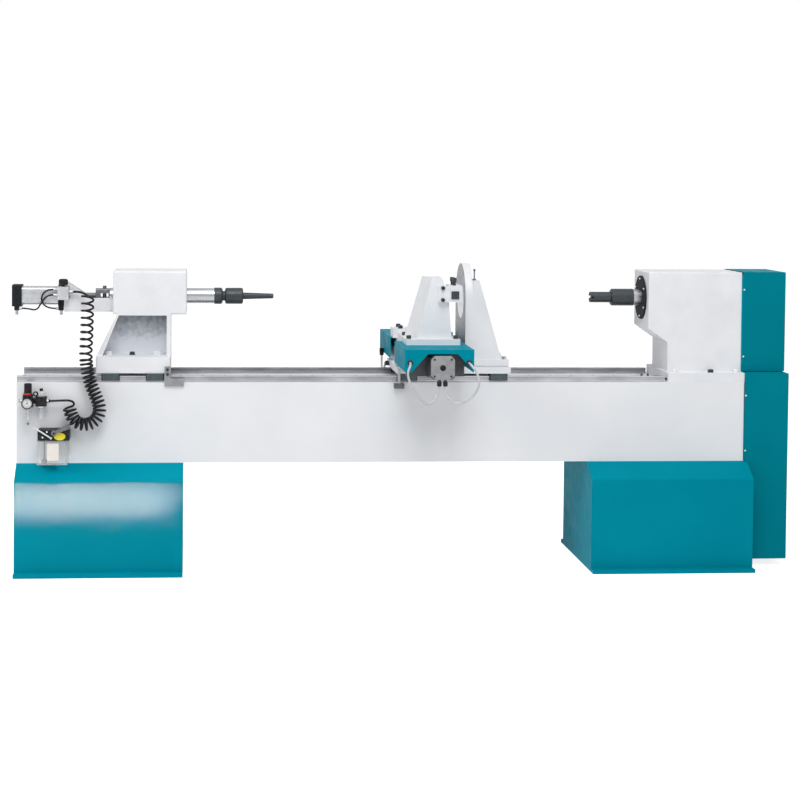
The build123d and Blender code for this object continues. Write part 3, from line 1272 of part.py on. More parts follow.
with BuildPart() as tool_holder:
    holder_right = holder_left + HOLDER_WIDTH
    holder_height = (holder_bottom, holder_bottom + HOLDER_HEIGHT)
    holder_run = (holder_front, holder_front + HOLDER_LENGTH)
    box_span((holder_left, holder_right), holder_run, holder_height)
    ear_depth = (-TOWER_FRONT - HOLDER_EAR_THICKNESS, -TOWER_FRONT)
    box_span((holder_left - HOLDER_EAR, holder_left), ear_depth, holder_height)
    fillet(tool_holder.edges().filter_by(Axis.Y).group_by(Axis.X)[0], TOOL_TIP_WIDTH)
    socket = TOOL_SIZE + 2 * CLEARANCE
    box_span(centred(tool_x, socket), holder_run, centred(tool_level, socket), Mode.SUBTRACT)
save(tool_holder, "tool_holder")

with BuildPart() as tool_bar:
    tool_front = holder_front - TOOL_OVERHANG
    tool_end = tool_front + TOOL_LENGTH - TOOL_TIP
    box_span(centred(tool_x, TOOL_SIZE), (tool_front, tool_end), centred(tool_level, TOOL_SIZE))
    with BuildSketch(Plane.XZ.offset(-tool_end)):
        with Locations((tool_x, tool_level)):
            Rectangle(TOOL_SIZE, TOOL_SIZE)
    with BuildSketch(Plane.XZ.offset(-tool_end - TOOL_TIP)):
        with Locations((tool_x, tool_level - TOOL_SIZE / 4)):
            Rectangle(TOOL_TIP_WIDTH, TOOL_SIZE / 2)
    loft(ruled=True)
save(tool_bar, "tool_bar")

with BuildPart() as slide_bolts:
    bolt_left = cross_x - CROSS_PLATE_WIDTH / 2 + BOLT_EDGE
    bolt_right = cross_x + CROSS_PLATE_WIDTH / 2 - BOLT_EDGE
    for bolt_x in (bolt_left, bolt_right):
        for bolt_y in (-TOWER_FRONT + BOLT_EDGE, CROSS_BLOCK_FRONT):
            rod((bolt_x, bolt_y, cross_plate_top), ALONG_Z, BOLT_HEAD_HEIGHT, BOLT_HEAD_DIAMETER)
        for bolt_y in (CROSS_PLATE_REAR - CROSS_BAR_WIDTH + BOLT_EDGE, CROSS_PLATE_REAR - BOLT_EDGE):
            bar_top = cross_plate_top + CROSS_BAR_RISE
            rod((bolt_x, bolt_y, bar_top), ALONG_Z, BOLT_HEAD_HEIGHT, BOLT_HEAD_DIAMETER)
    ear_x = holder_left - HOLDER_EAR + HOLDER_EAR_THICKNESS / 2 + EAR_BOLT_DIAMETER / 2
    for bolt_z in centred(holder_bottom + HOLDER_HEIGHT / 2, EAR_BOLT_SPACING):
        ear_start = (ear_x, -TOWER_FRONT - HOLDER_EAR_THICKNESS, bolt_z)
        rod(ear_start, (0, -1, 0), EAR_BOLT_HEIGHT, EAR_BOLT_DIAMETER)
    holder_top = holder_bottom + HOLDER_HEIGHT
    for bolt_y in centred(holder_front + HOLDER_LENGTH / 2, CLAMP_SCREW_SPACING):
        rod((tool_x, bolt_y, holder_top), ALONG_Z, CLAMP_SCREW_SHANK, CLAMP_SCREW_DIAMETER)
        head_bottom = holder_top + CLAMP_SCREW_SHANK
        head_height = (head_bottom, head_bottom + CLAMP_SCREW_HEAD)
        box_span(centred(tool_x, CLAMP_SCREW_HEAD), centred(bolt_y, CLAMP_SCREW_HEAD), head_height)
save(slide_bolts, "slide_bolts")

# Air unit: regulator, lubricator, bowls, gauge and knob

with BuildPart() as air_unit_body:
    body_bottom = air_unit_level - REGULATOR_BELOW
    regulator_height = (body_bottom, bonnet_bottom)
    box_span(centred(regulator_x, REGULATOR_SIZE), centred(air_unit_y, REGULATOR_SIZE), regulator_height)
    lubricator_height = (air_unit_level - LUBRICATOR_BELOW, air_unit_level + LUBRICATOR_ABOVE)
    lubricator_depth = centred(air_unit_y, LUBRICATOR_SIZE)
    box_span(centred(lubricator_x, LUBRICATOR_SIZE), lubricator_depth, lubricator_height)
    fillet(air_unit_body.edges().filter_by(Axis.Z), 4)
    rod((regulator_x, air_unit_y, bonnet_bottom), ALONG_Z, BONNET_HEIGHT, BONNET_DIAMETER)
    link_span = (air_link_left, air_link_left + AIR_LINK_LENGTH)
    link_height = centred(air_unit_level, AIR_LINK_HEIGHT)
    box_span(link_span, (air_unit_y - REGULATOR_SIZE / 4, bed_front), link_height)
    inlet_start = (regulator_x - REGULATOR_SIZE / 2, air_unit_y, air_unit_level)
    rod(inlet_start, (-1, 0, 0), NIPPLE_LENGTH, NIPPLE_DIAMETER)
    bore_start = (inlet_start[0] + INLET_DEPTH, air_unit_y, air_unit_level)
    rod(bore_start, (-1, 0, 0), NIPPLE_LENGTH + INLET_DEPTH, NIPPLE_BORE, Mode.SUBTRACT)
    outlet_start = (lubricator_x + LUBRICATOR_SIZE / 2, air_unit_y, air_unit_level)
    rod(outlet_start, ALONG_X, OUTLET_LENGTH, NIPPLE_DIAMETER)
    dome_top = lubricator_height[1] + DOME_HEIGHT
    rod((lubricator_x, air_unit_y, dome_top), ALONG_Z, DRIP_KNOB_HEIGHT, DRIP_KNOB_DIAMETER)
save(air_unit_body, "air_unit_body")

with BuildPart() as air_bowls:
    for bowl_x, bowl_top in ((regulator_x, body_bottom), (lubricator_x, lubricator_height[0])):
        rod((bowl_x, air_unit_y, bowl_top), (0, 0, -1), BOWL_HEIGHT, BOWL_DIAMETER)
        cavity = BOWL_HEIGHT - BOWL_WALL
        bowl_bore = BOWL_DIAMETER - 2 * BOWL_WALL
        rod((bowl_x, air_unit_y, bowl_top), (0, 0, -1), cavity, bowl_bore, Mode.SUBTRACT)
    rod((regulator_x, air_unit_y, body_bottom - BOWL_HEIGHT), (0, 0, -1), DRAIN_LENGTH, DRAIN_DIAMETER)
    dome_start = (lubricator_x, air_unit_y, lubricator_height[1])
    rod(dome_start, ALONG_Z, DOME_HEIGHT, DOME_DIAMETER)
    rod(dome_start, ALONG_Z, DOME_HEIGHT - BOWL_WALL, DOME_DIAMETER - 2 * BOWL_WALL, Mode.SUBTRACT)
save(air_bowls, "air_bowls")

with BuildPart() as regulator_knob:
    knob_start = bonnet_bottom + BONNET_HEIGHT + CLEARANCE
    rod((regulator_x, air_unit_y, knob_start), ALONG_Z, REGULATOR_KNOB_HEIGHT, REGULATOR_KNOB_DIAMETER)
    chamfer(regulator_knob.edges().filter_by(GeomType.CIRCLE).sort_by(Axis.Z)[-1], REGULATOR_KNOB_CHAMFER)
    with BuildSketch(Plane.XY.offset(knob_start)):
        with Locations((regulator_x, air_unit_y)):
            with PolarLocations(REGULATOR_KNOB_DIAMETER / 2, KNOB_FLUTES):
                Circle(KNOB_FLUTE_DEPTH)
    extrude(amount=REGULATOR_KNOB_HEIGHT * KNOB_FLUTE_SHARE, mode=Mode.SUBTRACT)
save(regulator_knob, "regulator_knob")

gauge_front = gauge_back - GAUGE_DEPTH
with BuildPart() as pressure_gauge:
    rod((regulator_x, gauge_back, gauge_level), (0, -1, 0), GAUGE_DEPTH, GAUGE_DIAMETER)
    recess_start = (regulator_x, gauge_front, gauge_level)
    rod(recess_start, ALONG_Y, GAUGE_RECESS, GAUGE_DIAMETER - 2 * GAUGE_RIM, Mode.SUBTRACT)
    pin_from = (regulator_x, gauge_front + GAUGE_RECESS, gauge_level)
    rod(pin_from, (0, -1, 0), GAUGE_PIN_LENGTH, GAUGE_PIN_DIAMETER)
save(pressure_gauge, "pressure_gauge")

with BuildPart() as gauge_needle:
    needle_back = gauge_front + GAUGE_RECESS - CLEARANCE
    with BuildSketch(Plane.XZ.offset(-needle_back)):
        with Locations((regulator_x, gauge_level)):
            Circle(NEEDLE_HUB_DIAMETER / 2)
        with Locations((regulator_x, gauge_level + NEEDLE_LENGTH / 2)):
            Rectangle(NEEDLE_WIDTH, NEEDLE_LENGTH)
        with Locations((regulator_x, gauge_level)):
            Circle(GAUGE_PIN_DIAMETER / 2 + RUNNING_FIT, mode=Mode.SUBTRACT)
    extrude(amount=NEEDLE_THICKNESS)
save(gauge_needle, "gauge_needle")

# Manual oil pump

with BuildPart() as pump_head:
    pump_span = (pump_left, pump_left + PUMP_LENGTH)
    box_span(pump_span, (pump_front, bed_front), (pump_level, pump_level + PUMP_HEIGHT))
    fillet(pump_head.edges().filter_by(Axis.Y).group_by(Axis.Z)[-1], PUMP_ROUND)
    fillet(pump_head.faces().sort_by(Axis.Y)[0].edges().filter_by(Axis.Z), PUMP_ROUND / 2)
    pivot_start = (lever_pivot_x, pump_front + LEVER_PIN_ROOT, lever_pivot_z)
    rod(pivot_start, (0, -1, 0), LEVER_THICKNESS + LEVER_PIN_ROOT + CLEARANCE, LEVER_PIN_DIAMETER)
save(pump_head, "pump_head")

with BuildPart() as oil_tank:
    tank_span = (pump_left - TANK_OVERLAP, pump_left - TANK_OVERLAP + TANK_LENGTH)
    tank_height = (pump_level - TANK_HEIGHT, pump_level)
    box_span(tank_span, (bed_front - TANK_DEPTH, bed_front), tank_height)
    fillet(oil_tank.edges().filter_by(Axis.Z).group_by(Axis.Y)[0], TANK_ROUND)
    inside_span = (tank_span[0] + TANK_WALL, tank_span[1] - TANK_WALL)
    inside_depth = (bed_front - TANK_DEPTH + TANK_WALL, bed_front - TANK_WALL)
    box_span(inside_span, inside_depth, (tank_height[0] + TANK_WALL, tank_height[1]), Mode.SUBTRACT)
save(oil_tank, "oil_tank")

with BuildPart() as pump_lever:
    lever_back = pump_front - CLEARANCE
    lever_start = (lever_pivot_x, lever_back, lever_pivot_z)
    lever_slope = (cos(radians(LEVER_RISE_DEGREES)), 0, sin(radians(LEVER_RISE_DEGREES)))
    lever_plane = Plane(origin=lever_start, x_dir=lever_slope, z_dir=(0, -1, 0))
    with BuildSketch(lever_plane):
        Polygon(
            (0, -LEVER_ROOT / 2),
            (LEVER_LENGTH, -LEVER_GRIP / 2),
            (LEVER_LENGTH, LEVER_GRIP / 2),
            (0, LEVER_ROOT / 2),
            align=None,
        )
        Circle(LEVER_HUB_DIAMETER / 2)
        Circle(LEVER_PIN_DIAMETER / 2 + RUNNING_FIT, mode=Mode.SUBTRACT)
    extrude(amount=LEVER_THICKNESS)
    grip_end = pump_lever.faces().sort_by(Axis.X)[-1]
    fillet(grip_end.edges().filter_by(Axis.Y), LEVER_GRIP / 4)
save(pump_lever, "pump_lever")


# Hoses and cables that bend freely


def cord(name, points, diameter):
    """A round cord along its points, each bend as wide as the runs beside it allow."""
    places = [Vector(point) for point in points]
    radii = []
    for before, corner, after in zip(places, places[1:], places[2:]):
        shorter = min((corner - before).length, (after - corner).length)
        turn = radians((corner - before).get_angle(after - corner))
        radii.append(0.45 * shorter / tan(turn / 2))
    with BuildPart() as piece:
        with BuildLine() as route:
            FilletPolyline(*places, radius=radii)
        with BuildSketch(Plane(origin=places[0], z_dir=places[1] - places[0])):
            Circle(diameter / 2)
        sweep()
    length = route.wires()[0].length
    share = piece.part.volume / (pi * diameter**2 / 4 * length)
    bends = [round(radius) for radius in radii]
    print(name, "bend radii", bends, "length", round(length), "fill", round(share, 4))
    save(piece, name)
    return piece


fitting_end = valve_left - PUSH_FITTING_LENGTH
loop_drop = upper_port - port_level
loop_left = fitting_end - 0.4 * loop_drop
cylinder_hose_front = cord(
    "cylinder_hose_front",
    [
        (fitting_end, valve_y, upper_port),
        (loop_left, valve_y, upper_port),
        (loop_left - 0.29 * loop_drop, valve_y + 5, upper_port - loop_drop / 2),
        (loop_left, port_y, port_level),
        (front_port_end, port_y, port_level),
    ],
    CYLINDER_HOSE_DIAMETER,
)

bend_x = rear_port_end + 42
cylinder_hose_rear = cord(
    "cylinder_hose_rear",
    [
        (fitting_end, valve_y, lower_port),
        (fitting_end - 22, valve_y, lower_port),
        (bend_x + 32, valve_y - 9, (lower_port + port_level) / 2),
        (bend_x + 12, port_y - 6, port_level - 8),
        (rear_port_end + 18, port_y, port_level),
        (rear_port_end, port_y, port_level),
    ],
    CYLINDER_HOSE_DIAMETER,
)

exit_level = cross_plate_level - CABLE_EXIT_DROP
left_exit = cover_left_side + CABLE_EXIT_INSET
left_lead = cross_screw_x - STEPPER_SIZE / 8
motor_cable_left = cord(
    "motor_cable_left",
    [
        (left_exit, -CROSS_REACH, exit_level),
        (left_exit, -CROSS_REACH - 32, exit_level),
        (left_exit - 16, -CROSS_REACH - 38, exit_level - 36),
        (left_exit + 2, -CROSS_REACH - 32, exit_level - 80),
        (left_exit + 32, -CROSS_REACH - 18, exit_level - 124),
        (left_lead - 41, -CROSS_REACH - 2, lead_bottom - 80),
        (left_lead - 9, lead_y - 3, lead_bottom - 52),
        (left_lead, lead_y, lead_bottom - 22),
        (left_lead, lead_y, lead_bottom),
    ],
    CABLE_DIAMETER,
)

right_exit = cover_right_side - CABLE_EXIT_INSET
right_lead = cross_screw_x + STEPPER_SIZE / 8
motor_cable_right = cord(
    "motor_cable_right",
    [
        (right_exit, -CROSS_REACH, exit_level),
        (right_exit, -CROSS_REACH - 32, exit_level),
        (right_exit + 25, -CROSS_REACH - 40, exit_level - 33),
        (right_exit + 33, -CROSS_REACH - 36, exit_level - 73),
        (right_exit + 14, -CROSS_REACH - 26, exit_level - 113),
        (right_lead + 55, -CROSS_REACH - 8, lead_bottom - 72),
        (right_lead + 16, lead_y - 4, lead_bottom - 62),
        (right_lead, lead_y, lead_bottom - 28),
        (right_lead, lead_y, lead_bottom),
    ],
    CABLE_DIAMETER,
)

conduit_x = cover_left_side - GLAND_SIZE / 2
saddle_entry = (block_top + saddle_top) / 2
saddle_gland_rear = SADDLE_GLAND_Y + GLAND_SIZE / 2
cover_conduit = cord(
    "cover_conduit",
    [
        (conduit_x, COVER_GLAND_Y, cross_cover_bottom),
        (conduit_x, COVER_GLAND_Y, cross_cover_bottom - 28),
        (conduit_x, COVER_GLAND_Y - 6, cross_cover_bottom - 58),
        (conduit_x, COVER_GLAND_Y - 26, cross_cover_bottom - 80),
        (conduit_x, COVER_GLAND_Y - 55, cross_cover_bottom - 86),
        (conduit_x, saddle_gland_rear + 106, saddle_entry - 52),
        (conduit_x, saddle_gland_rear + 88, saddle_entry - 28),
        (conduit_x, saddle_gland_rear + 62, saddle_entry - 8),
        (conduit_x, saddle_gland_rear + 30, saddle_entry),
        (conduit_x, saddle_gland_rear, saddle_entry),
    ],
    CONDUIT_DIAMETER,
)

# Curly air hose: a helix about a hanging centre line, drawn as pairs of tangent arcs

hose_start = Vector(valve_right + PUSH_FITTING_LENGTH, valve_y, right_port)
hose_end = Vector(lubricator_x + LUBRICATOR_SIZE / 2 + OUTLET_LENGTH, air_unit_y, air_unit_level)
coil_x = valve_right + 70
hang_y = bed_front - 43
loop_x = bed_left + 248
loop_z = bed_top - 94
coil_guide = [
    (coil_x, valve_y - 43, right_port - 7),
    (coil_x, valve_y - 68, right_port - 90),
    (coil_x - 1, valve_y - 106, right_port - 175),
    (coil_x - 2, hang_y + 14, right_port - 240),
    (coil_x + 13, hang_y, bed_top + 8),
    (coil_x + 33, hang_y, bed_top - 38),
]
for angle in (10, -30, -70, -110, -150, -188):
    turned = radians(angle)
    place = (loop_x + LOOP_RADIUS * cos(turned), hang_y, loop_z + LOOP_RADIUS * sin(turned))
    coil_guide.append(place)
with BuildLine() as coil_line:
    Spline(*coil_guide)
coil_axis = coil_line.edges()[0]
coil_run = coil_axis.length
loose_share = LOOSE_TURNS * LOOSE_PITCH / coil_run
tight_share = (1 - loose_share) / TIGHT_TURNS
print("coil axis", round(coil_run), "tight pitch", round(tight_share * coil_run, 2))


def coil_point(turn):
    """A point of the helix after a number of turns from its start at the back."""
    share = turn * loose_share / LOOSE_TURNS
    if turn > LOOSE_TURNS:
        share = loose_share + (turn - LOOSE_TURNS) * tight_share
    share = min(max(share, 0), 1)
    ahead = coil_axis.tangent_at(share)
    back = Vector(ALONG_Y) - ahead * ahead.dot(Vector(ALONG_Y))
    back = back.normalized()
    aside = back.cross(ahead)
    angle = -2 * pi * turn
    return coil_axis.position_at(share) + (back * cos(angle) - aside * sin(angle)) * COIL_RADIUS


def coil_heading(turn):
    """Direction of travel along the helix."""
    step = 0.01
    return (coil_point(turn + step) - coil_point(turn - step)).normalized()


def arc_pair(start, heading, end, end_heading):
    """Two tangent arcs that join two points at given headings."""
    across = end - start
    both = heading + end_heading
    spread = 2 * (1 - heading.dot(end_heading))
    along = across.dot(both)
    if spread < 0.000001:
        reach = across.dot(across) / (4 * across.dot(end_heading))
    else:
        reach = (sqrt(along**2 + spread * across.dot(across)) - along) / spread
    first_corner = start + heading * reach
    second_corner = end - end_heading * reach
    joint = (first_corner + second_corner) * 0.5
    TangentArc(start, joint, tangent=heading)
    TangentArc(joint, end, tangent=(second_corner - first_corner).normalized())


total_turns = LOOSE_TURNS + TIGHT_TURNS
hose_lead = Vector(ALONG_X) * AIR_HOSE_DIAMETER
stations = [(hose_start + hose_lead, Vector(ALONG_X))]
for half_turn in range(2 * total_turns + 1):
    stations.append((coil_point(half_turn / 2), coil_heading(half_turn / 2)))
stations.append((hose_end + hose_lead, Vector(-1, 0, 0)))
with BuildPart() as air_hose:
    with BuildLine() as hose_line:
        Line(hose_start, hose_start + hose_lead)
        for (place, heading), (next_place, next_heading) in zip(stations, stations[1:]):
            arc_pair(place, heading, next_place, next_heading)
        Line(hose_end + hose_lead, hose_end)
    with BuildSketch(Plane(origin=hose_start, z_dir=ALONG_X)):
        Circle(AIR_HOSE_DIAMETER / 2)
    sweep()
hose_run = hose_line.wires()[0]
hose_share = air_hose.part.volume / (pi * AIR_HOSE_DIAMETER**2 / 4 * hose_run.length)
print("air_hose length", round(hose_run.length), "fill", round(hose_share, 4))
samples = [hose_run.position_at(index / HOSE_SAMPLES) for index in range(HOSE_SAMPLES + 1)]
skip = floor(1.5 * COIL_RADIUS * HOSE_SAMPLES / hose_run.length)
gaps = []
for index, place in enumerate(samples):
    for other in samples[index + skip : index + 8 * skip]:
        gaps.append((place - other).length)
print("air_hose least gap to itself", round(min(gaps) - AIR_HOSE_DIAMETER, 2))
save(air_hose, "air_hose")
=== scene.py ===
# %% [markdown]
# # A CNC wood lathe
# The solids of the lathe come in as a fixed frame, in metres: X along the bed towards the
# headstock, Y away from the operator's side, Z up. This lesson dresses that frame: it sets
# up the camera and the light, mixes the paints and metals, hangs the hoses and cables, and
# adds the screws, dials and trims that a solid model leaves out.

# %% Load the frame
import json
import math

import bpy
from mathutils import Matrix, Vector

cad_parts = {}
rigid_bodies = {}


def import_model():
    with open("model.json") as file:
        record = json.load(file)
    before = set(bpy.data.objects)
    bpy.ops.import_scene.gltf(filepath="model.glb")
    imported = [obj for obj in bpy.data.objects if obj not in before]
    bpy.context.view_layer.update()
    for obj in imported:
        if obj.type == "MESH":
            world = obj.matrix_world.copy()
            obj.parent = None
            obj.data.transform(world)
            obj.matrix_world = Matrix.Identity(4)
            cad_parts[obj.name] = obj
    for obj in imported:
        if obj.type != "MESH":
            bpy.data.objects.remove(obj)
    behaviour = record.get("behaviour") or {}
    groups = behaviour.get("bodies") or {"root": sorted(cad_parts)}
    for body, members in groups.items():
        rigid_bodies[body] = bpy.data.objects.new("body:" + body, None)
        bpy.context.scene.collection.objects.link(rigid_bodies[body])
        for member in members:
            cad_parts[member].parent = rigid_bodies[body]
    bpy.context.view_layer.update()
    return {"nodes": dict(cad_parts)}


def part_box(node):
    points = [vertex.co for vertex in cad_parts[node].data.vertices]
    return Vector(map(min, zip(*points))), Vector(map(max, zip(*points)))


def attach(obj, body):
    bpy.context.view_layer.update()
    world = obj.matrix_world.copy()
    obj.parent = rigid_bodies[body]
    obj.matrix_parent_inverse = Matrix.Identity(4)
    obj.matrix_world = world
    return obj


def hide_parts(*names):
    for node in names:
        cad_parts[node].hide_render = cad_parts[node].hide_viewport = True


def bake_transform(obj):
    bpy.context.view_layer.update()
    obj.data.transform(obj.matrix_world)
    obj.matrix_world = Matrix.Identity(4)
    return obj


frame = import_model()
nodes = frame["nodes"]
bpy.ops.object.select_all(action="DESELECT")

# %% [markdown]
# ## Camera
# The photograph was taken from about seven metres, a little above the spindle and left of
# the middle, turned slightly towards the headstock. A long lens keeps the bed's edges nearly
# parallel. The picture is a crop, so the lens is shifted: its own middle is up and left of
# the middle of the frame.

# %% Camera
CAMERA_PLACE = Vector((-0.7772, -6.7048, 1.4471))
CAMERA_YAW = math.radians(4.23)
CAMERA_PITCH = math.radians(1.98)
CAMERA_ROLL = math.radians(0.48)
CAMERA_LENS = 81.15
LENS_SHIFT = (0.0925, -0.205)

sight = Vector(
    (
        math.sin(CAMERA_YAW) * math.cos(CAMERA_PITCH),
        math.cos(CAMERA_YAW) * math.cos(CAMERA_PITCH),
        -math.sin(CAMERA_PITCH),
    )
)
level = Vector((math.cos(CAMERA_YAW), -math.sin(CAMERA_YAW), 0))
upright = level.cross(sight)
camera_right = level * math.cos(CAMERA_ROLL) + upright * math.sin(CAMERA_ROLL)
camera_up = upright * math.cos(CAMERA_ROLL) - level * math.sin(CAMERA_ROLL)
bpy.ops.object.camera_add()
camera = bpy.context.object
turn = Matrix((camera_right, camera_up, -sight)).transposed().to_4x4()
camera.matrix_world = Matrix.Translation(CAMERA_PLACE) @ turn
camera.data.lens = CAMERA_LENS
camera.data.sensor_width = 36
camera.data.shift_x, camera.data.shift_y = LENS_SHIFT
bpy.context.scene.camera = camera
print("camera at", [round(value, 3) for value in camera.location])

# %% [markdown]
# ## White room
# A machine photographed for a catalogue stands in a white room. A white world would give that
# at once, but its light would wash out the paint. So the world holds two backgrounds: a weak,
# cool one for the light, and a white one for the rays that the eye, a mirror or glass sends
# out. A light path node tells these rays from the others.

# %% White room
ROOM_LIGHT = 0.25
WHITE = (1, 1, 1, 1)
scene = bpy.context.scene
scene.view_settings.view_transform = "Standard"


def add_node(tree, kind, values=None):
    """A new shader node, with the inputs that are named set to plain values."""
    node = tree.nodes.new("ShaderNode" + kind)
    for name, value in (values or {}).items():
        node.inputs[name].default_value = value
    return node


def arithmetic(tree, operation, *terms):
    """One arithmetic step; each term is a number or the output of another node."""
    node = add_node(tree, "Math")
    node.operation = operation
    for index, term in enumerate(terms):
        if isinstance(term, bpy.types.NodeSocket):
            tree.links.new(term, node.inputs[index])
        else:
            node.inputs[index].default_value = term
    return node.outputs[0]


def seen_directly(tree):
    """One where the eye, a mirror or glass looks, and zero where light bounces."""
    path = add_node(tree, "LightPath").outputs
    seen = arithmetic(tree, "MAXIMUM", path["Is Camera Ray"], path["Is Glossy Ray"])
    return arithmetic(tree, "MAXIMUM", seen, path["Is Transmission Ray"])


world = bpy.data.worlds.new("white_room")
scene.world = world
world.use_nodes = True
room = world.node_tree
room.nodes.clear()
room_light = add_node(room, "Background", {"Color": (0.95, 0.97, 1.0, 1), "Strength": ROOM_LIGHT})
room_white = add_node(room, "Background", {"Color": WHITE, "Strength": 1.0})
room_mix = add_node(room, "MixShader")
room.links.new(seen_directly(room), room_mix.inputs[0])
room.links.new(room_light.outputs[0], room_mix.inputs[1])
room.links.new(room_white.outputs[0], room_mix.inputs[2])
room.links.new(room_mix.outputs[0], add_node(room, "OutputWorld").inputs[0])
print("world", world.name, "with", len(room.nodes), "nodes")

# %% [markdown]
# ## Floor
# The floor is one wide plane in a pale grey that takes the machine's soft shadow. A glow for
# the same direct rays lifts it to the white of the room, so that no horizon shows. A plane
# that only catches shadows would do this too, but it would send no light back up.

# %% Floor
FLOOR_GLOW = 0.82


def blank_material(name):
    """A material with an empty node tree."""
    material = bpy.data.materials.new(name)
    material.use_nodes = True
    material.node_tree.nodes.clear()
    return material


bpy.ops.mesh.primitive_plane_add(size=60, location=(0, 8, 0))
floor = bpy.context.object
floor.name = "studio_floor"
floor_paint = blank_material("pale_floor")
floor_tree = floor_paint.node_tree
floor_diffuse = add_node(floor_tree, "BsdfDiffuse", {"Color": (0.86, 0.86, 0.86, 1)})
floor_shine = add_node(floor_tree, "Emission", {"Color": WHITE})
floor_sum = add_node(floor_tree, "AddShader")
glow = arithmetic(floor_tree, "MULTIPLY", seen_directly(floor_tree), FLOOR_GLOW)
floor_tree.links.new(glow, floor_shine.inputs["Strength"])
floor_tree.links.new(floor_diffuse.outputs[0], floor_sum.inputs[0])
floor_tree.links.new(floor_shine.outputs[0], floor_sum.inputs[1])
floor_tree.links.new(floor_sum.outputs[0], add_node(floor_tree, "OutputMaterial").inputs[0])
floor.data.materials.append(floor_paint)
print("floor", floor.name, "with", len(floor_tree.nodes), "nodes")

# %% [markdown]
# ## Lamps
# Wide area lamps give soft shadows, as the light boxes of a studio do, where a sun or a spot
# would draw hard ones. The key lamp hangs high in front and gives the faces their order. A weak
# one on the right opens the shadows, a soft one stands in front of the tailstock's end, one far
# on the left lights the sides that look that way, and one above the bed brightens the tops.

# %% Lamps


def lamp(name, place, target, size, power):
    """A soft square lamp that points at a target."""
    bpy.ops.object.light_add(type="AREA", location=place)
    light = bpy.context.object
    light.name = name
    light.data.size = size
    light.data.energy = power
    aim = (Vector(target) - Vector(place)).to_track_quat("-Z", "Y")
    light.rotation_euler = aim.to_euler()


lamp("key_lamp", (-0.5, -5.2, 6.9), (0.1, 0, 0.6), 3.4, 320)
lamp("fill_lamp", (3.6, -5.8, 2.4), (0.4, 0, 0.7), 3.0, 36)
lamp("front_lamp", (-3.8, -5.2, 2.6), (-1.1, 0, 0.55), 2.4, 30)
lamp("left_lamp", (-5.4, -1.8, 3.6), (0.4, 0, 0.8), 2.6, 76)
lamp("top_lamp", (0.4, -0.9, 5.2), (0.2, 0, 0.6), 3.6, 45)

# %% [markdown]
# ## Window in the left stand
# The left stand mirrors a window as a pale band. The window is a glowing card that lies on
# the floor in front of it. Light linking lets the left stand alone receive its glow, and the
# card's ray switches leave nothing of it but the mirror image. A lamp could be mirrored too,
# but it would also light the stand's paint.

# %% Window in the left stand
WINDOW_GLOW = 560
bpy.ops.mesh.primitive_plane_add(size=1, location=(-1.24, -1.745, 0.004))
window = bpy.context.object
window.name = "window_reflection"
window.scale = (0.72, 0.62, 1)
window.visible_camera = False
window.visible_diffuse = False
window.visible_transmission = False
window.visible_shadow = False
window_light = blank_material("window_light")
window_tree = window_light.node_tree
window_shine = add_node(
    window_tree, "Emission", {"Color": (1, 0.95, 0.79, 1), "Strength": WINDOW_GLOW}
)
window_end = add_node(window_tree, "OutputMaterial")
window_tree.links.new(window_shine.outputs[0], window_end.inputs[0])
window.data.materials.append(window_light)
mirrors = bpy.data.collections.new("mirrors_the_window")
mirrors.objects.link(nodes["left_stand"])
window.light_linking.receiver_collection = mirrors

# %% [markdown]
# ## Teal enamel
# The stands and the covers are folded sheet in a teal enamel. A finish is a principled
# material on object coordinates, so that its grain has its real size in metres on every
# piece. One flat colour would look like plastic, so a slow noise mixes two near shades.

# %% Teal enamel


def shader_of(material):
    """The principled shader of a material."""
    return material.node_tree.nodes["Principled BSDF"]


def new_finish(name, colour, metal, rough, alpha=1.0, mirror=0.5):
    """A principled material with its plain numbers; a mirror of a half is a common paint's."""
    material = bpy.data.materials.new(name)
    material.use_nodes = True
    inputs = shader_of(material).inputs
    inputs["Base Color"].default_value = (*colour, 1)
    inputs["Metallic"].default_value = metal
    inputs["Roughness"].default_value = rough
    inputs["Alpha"].default_value = alpha
    inputs["Specular IOR Level"].default_value = mirror
    return material


def noise(material, scale, detail=4, stretch=(1, 1, 1)):
    """A cloud of a given scale on object coordinates, stretched along an axis if asked."""
    tree = material.node_tree
    mapping = add_node(tree, "Mapping", {"Scale": stretch})
    cloud = add_node(tree, "TexNoise", {"Scale": scale, "Detail": detail})
    tree.links.new(add_node(tree, "TexCoord").outputs["Object"], mapping.inputs["Vector"])
    tree.links.new(mapping.outputs["Vector"], cloud.inputs["Vector"])
    return cloud.outputs["Fac"]


def shades(material, cloud, dark, light, low=0.35, high=0.7):
    """A colour that wanders between two shades with a cloud."""
    ramp = add_node(material.node_tree, "ValToRGB")
    for stop, place, shade in zip(ramp.color_ramp.elements, (low, high), (dark, light)):
        stop.position = place
        stop.color = (*shade, 1)
    material.node_tree.links.new(cloud, ramp.inputs["Fac"])
    return ramp.outputs["Color"]


def tint(material, dark, light, *grain):
    """Give a finish two shades, mixed by a noise of a grain: scale, detail and stretch."""
    colour = shades(material, noise(material, *grain), dark, light)
    material.node_tree.links.new(colour, shader_of(material).inputs["Base Color"])


teal_enamel = new_finish("teal_enamel", (0.0004, 0.255, 0.345), 0.0, 0.4, mirror=0.008)
tint(teal_enamel, (0.0003, 0.24, 0.325), (0.0006, 0.27, 0.365), 3.2, 6)
print("teal enamel with", len(teal_enamel.node_tree.nodes), "nodes")
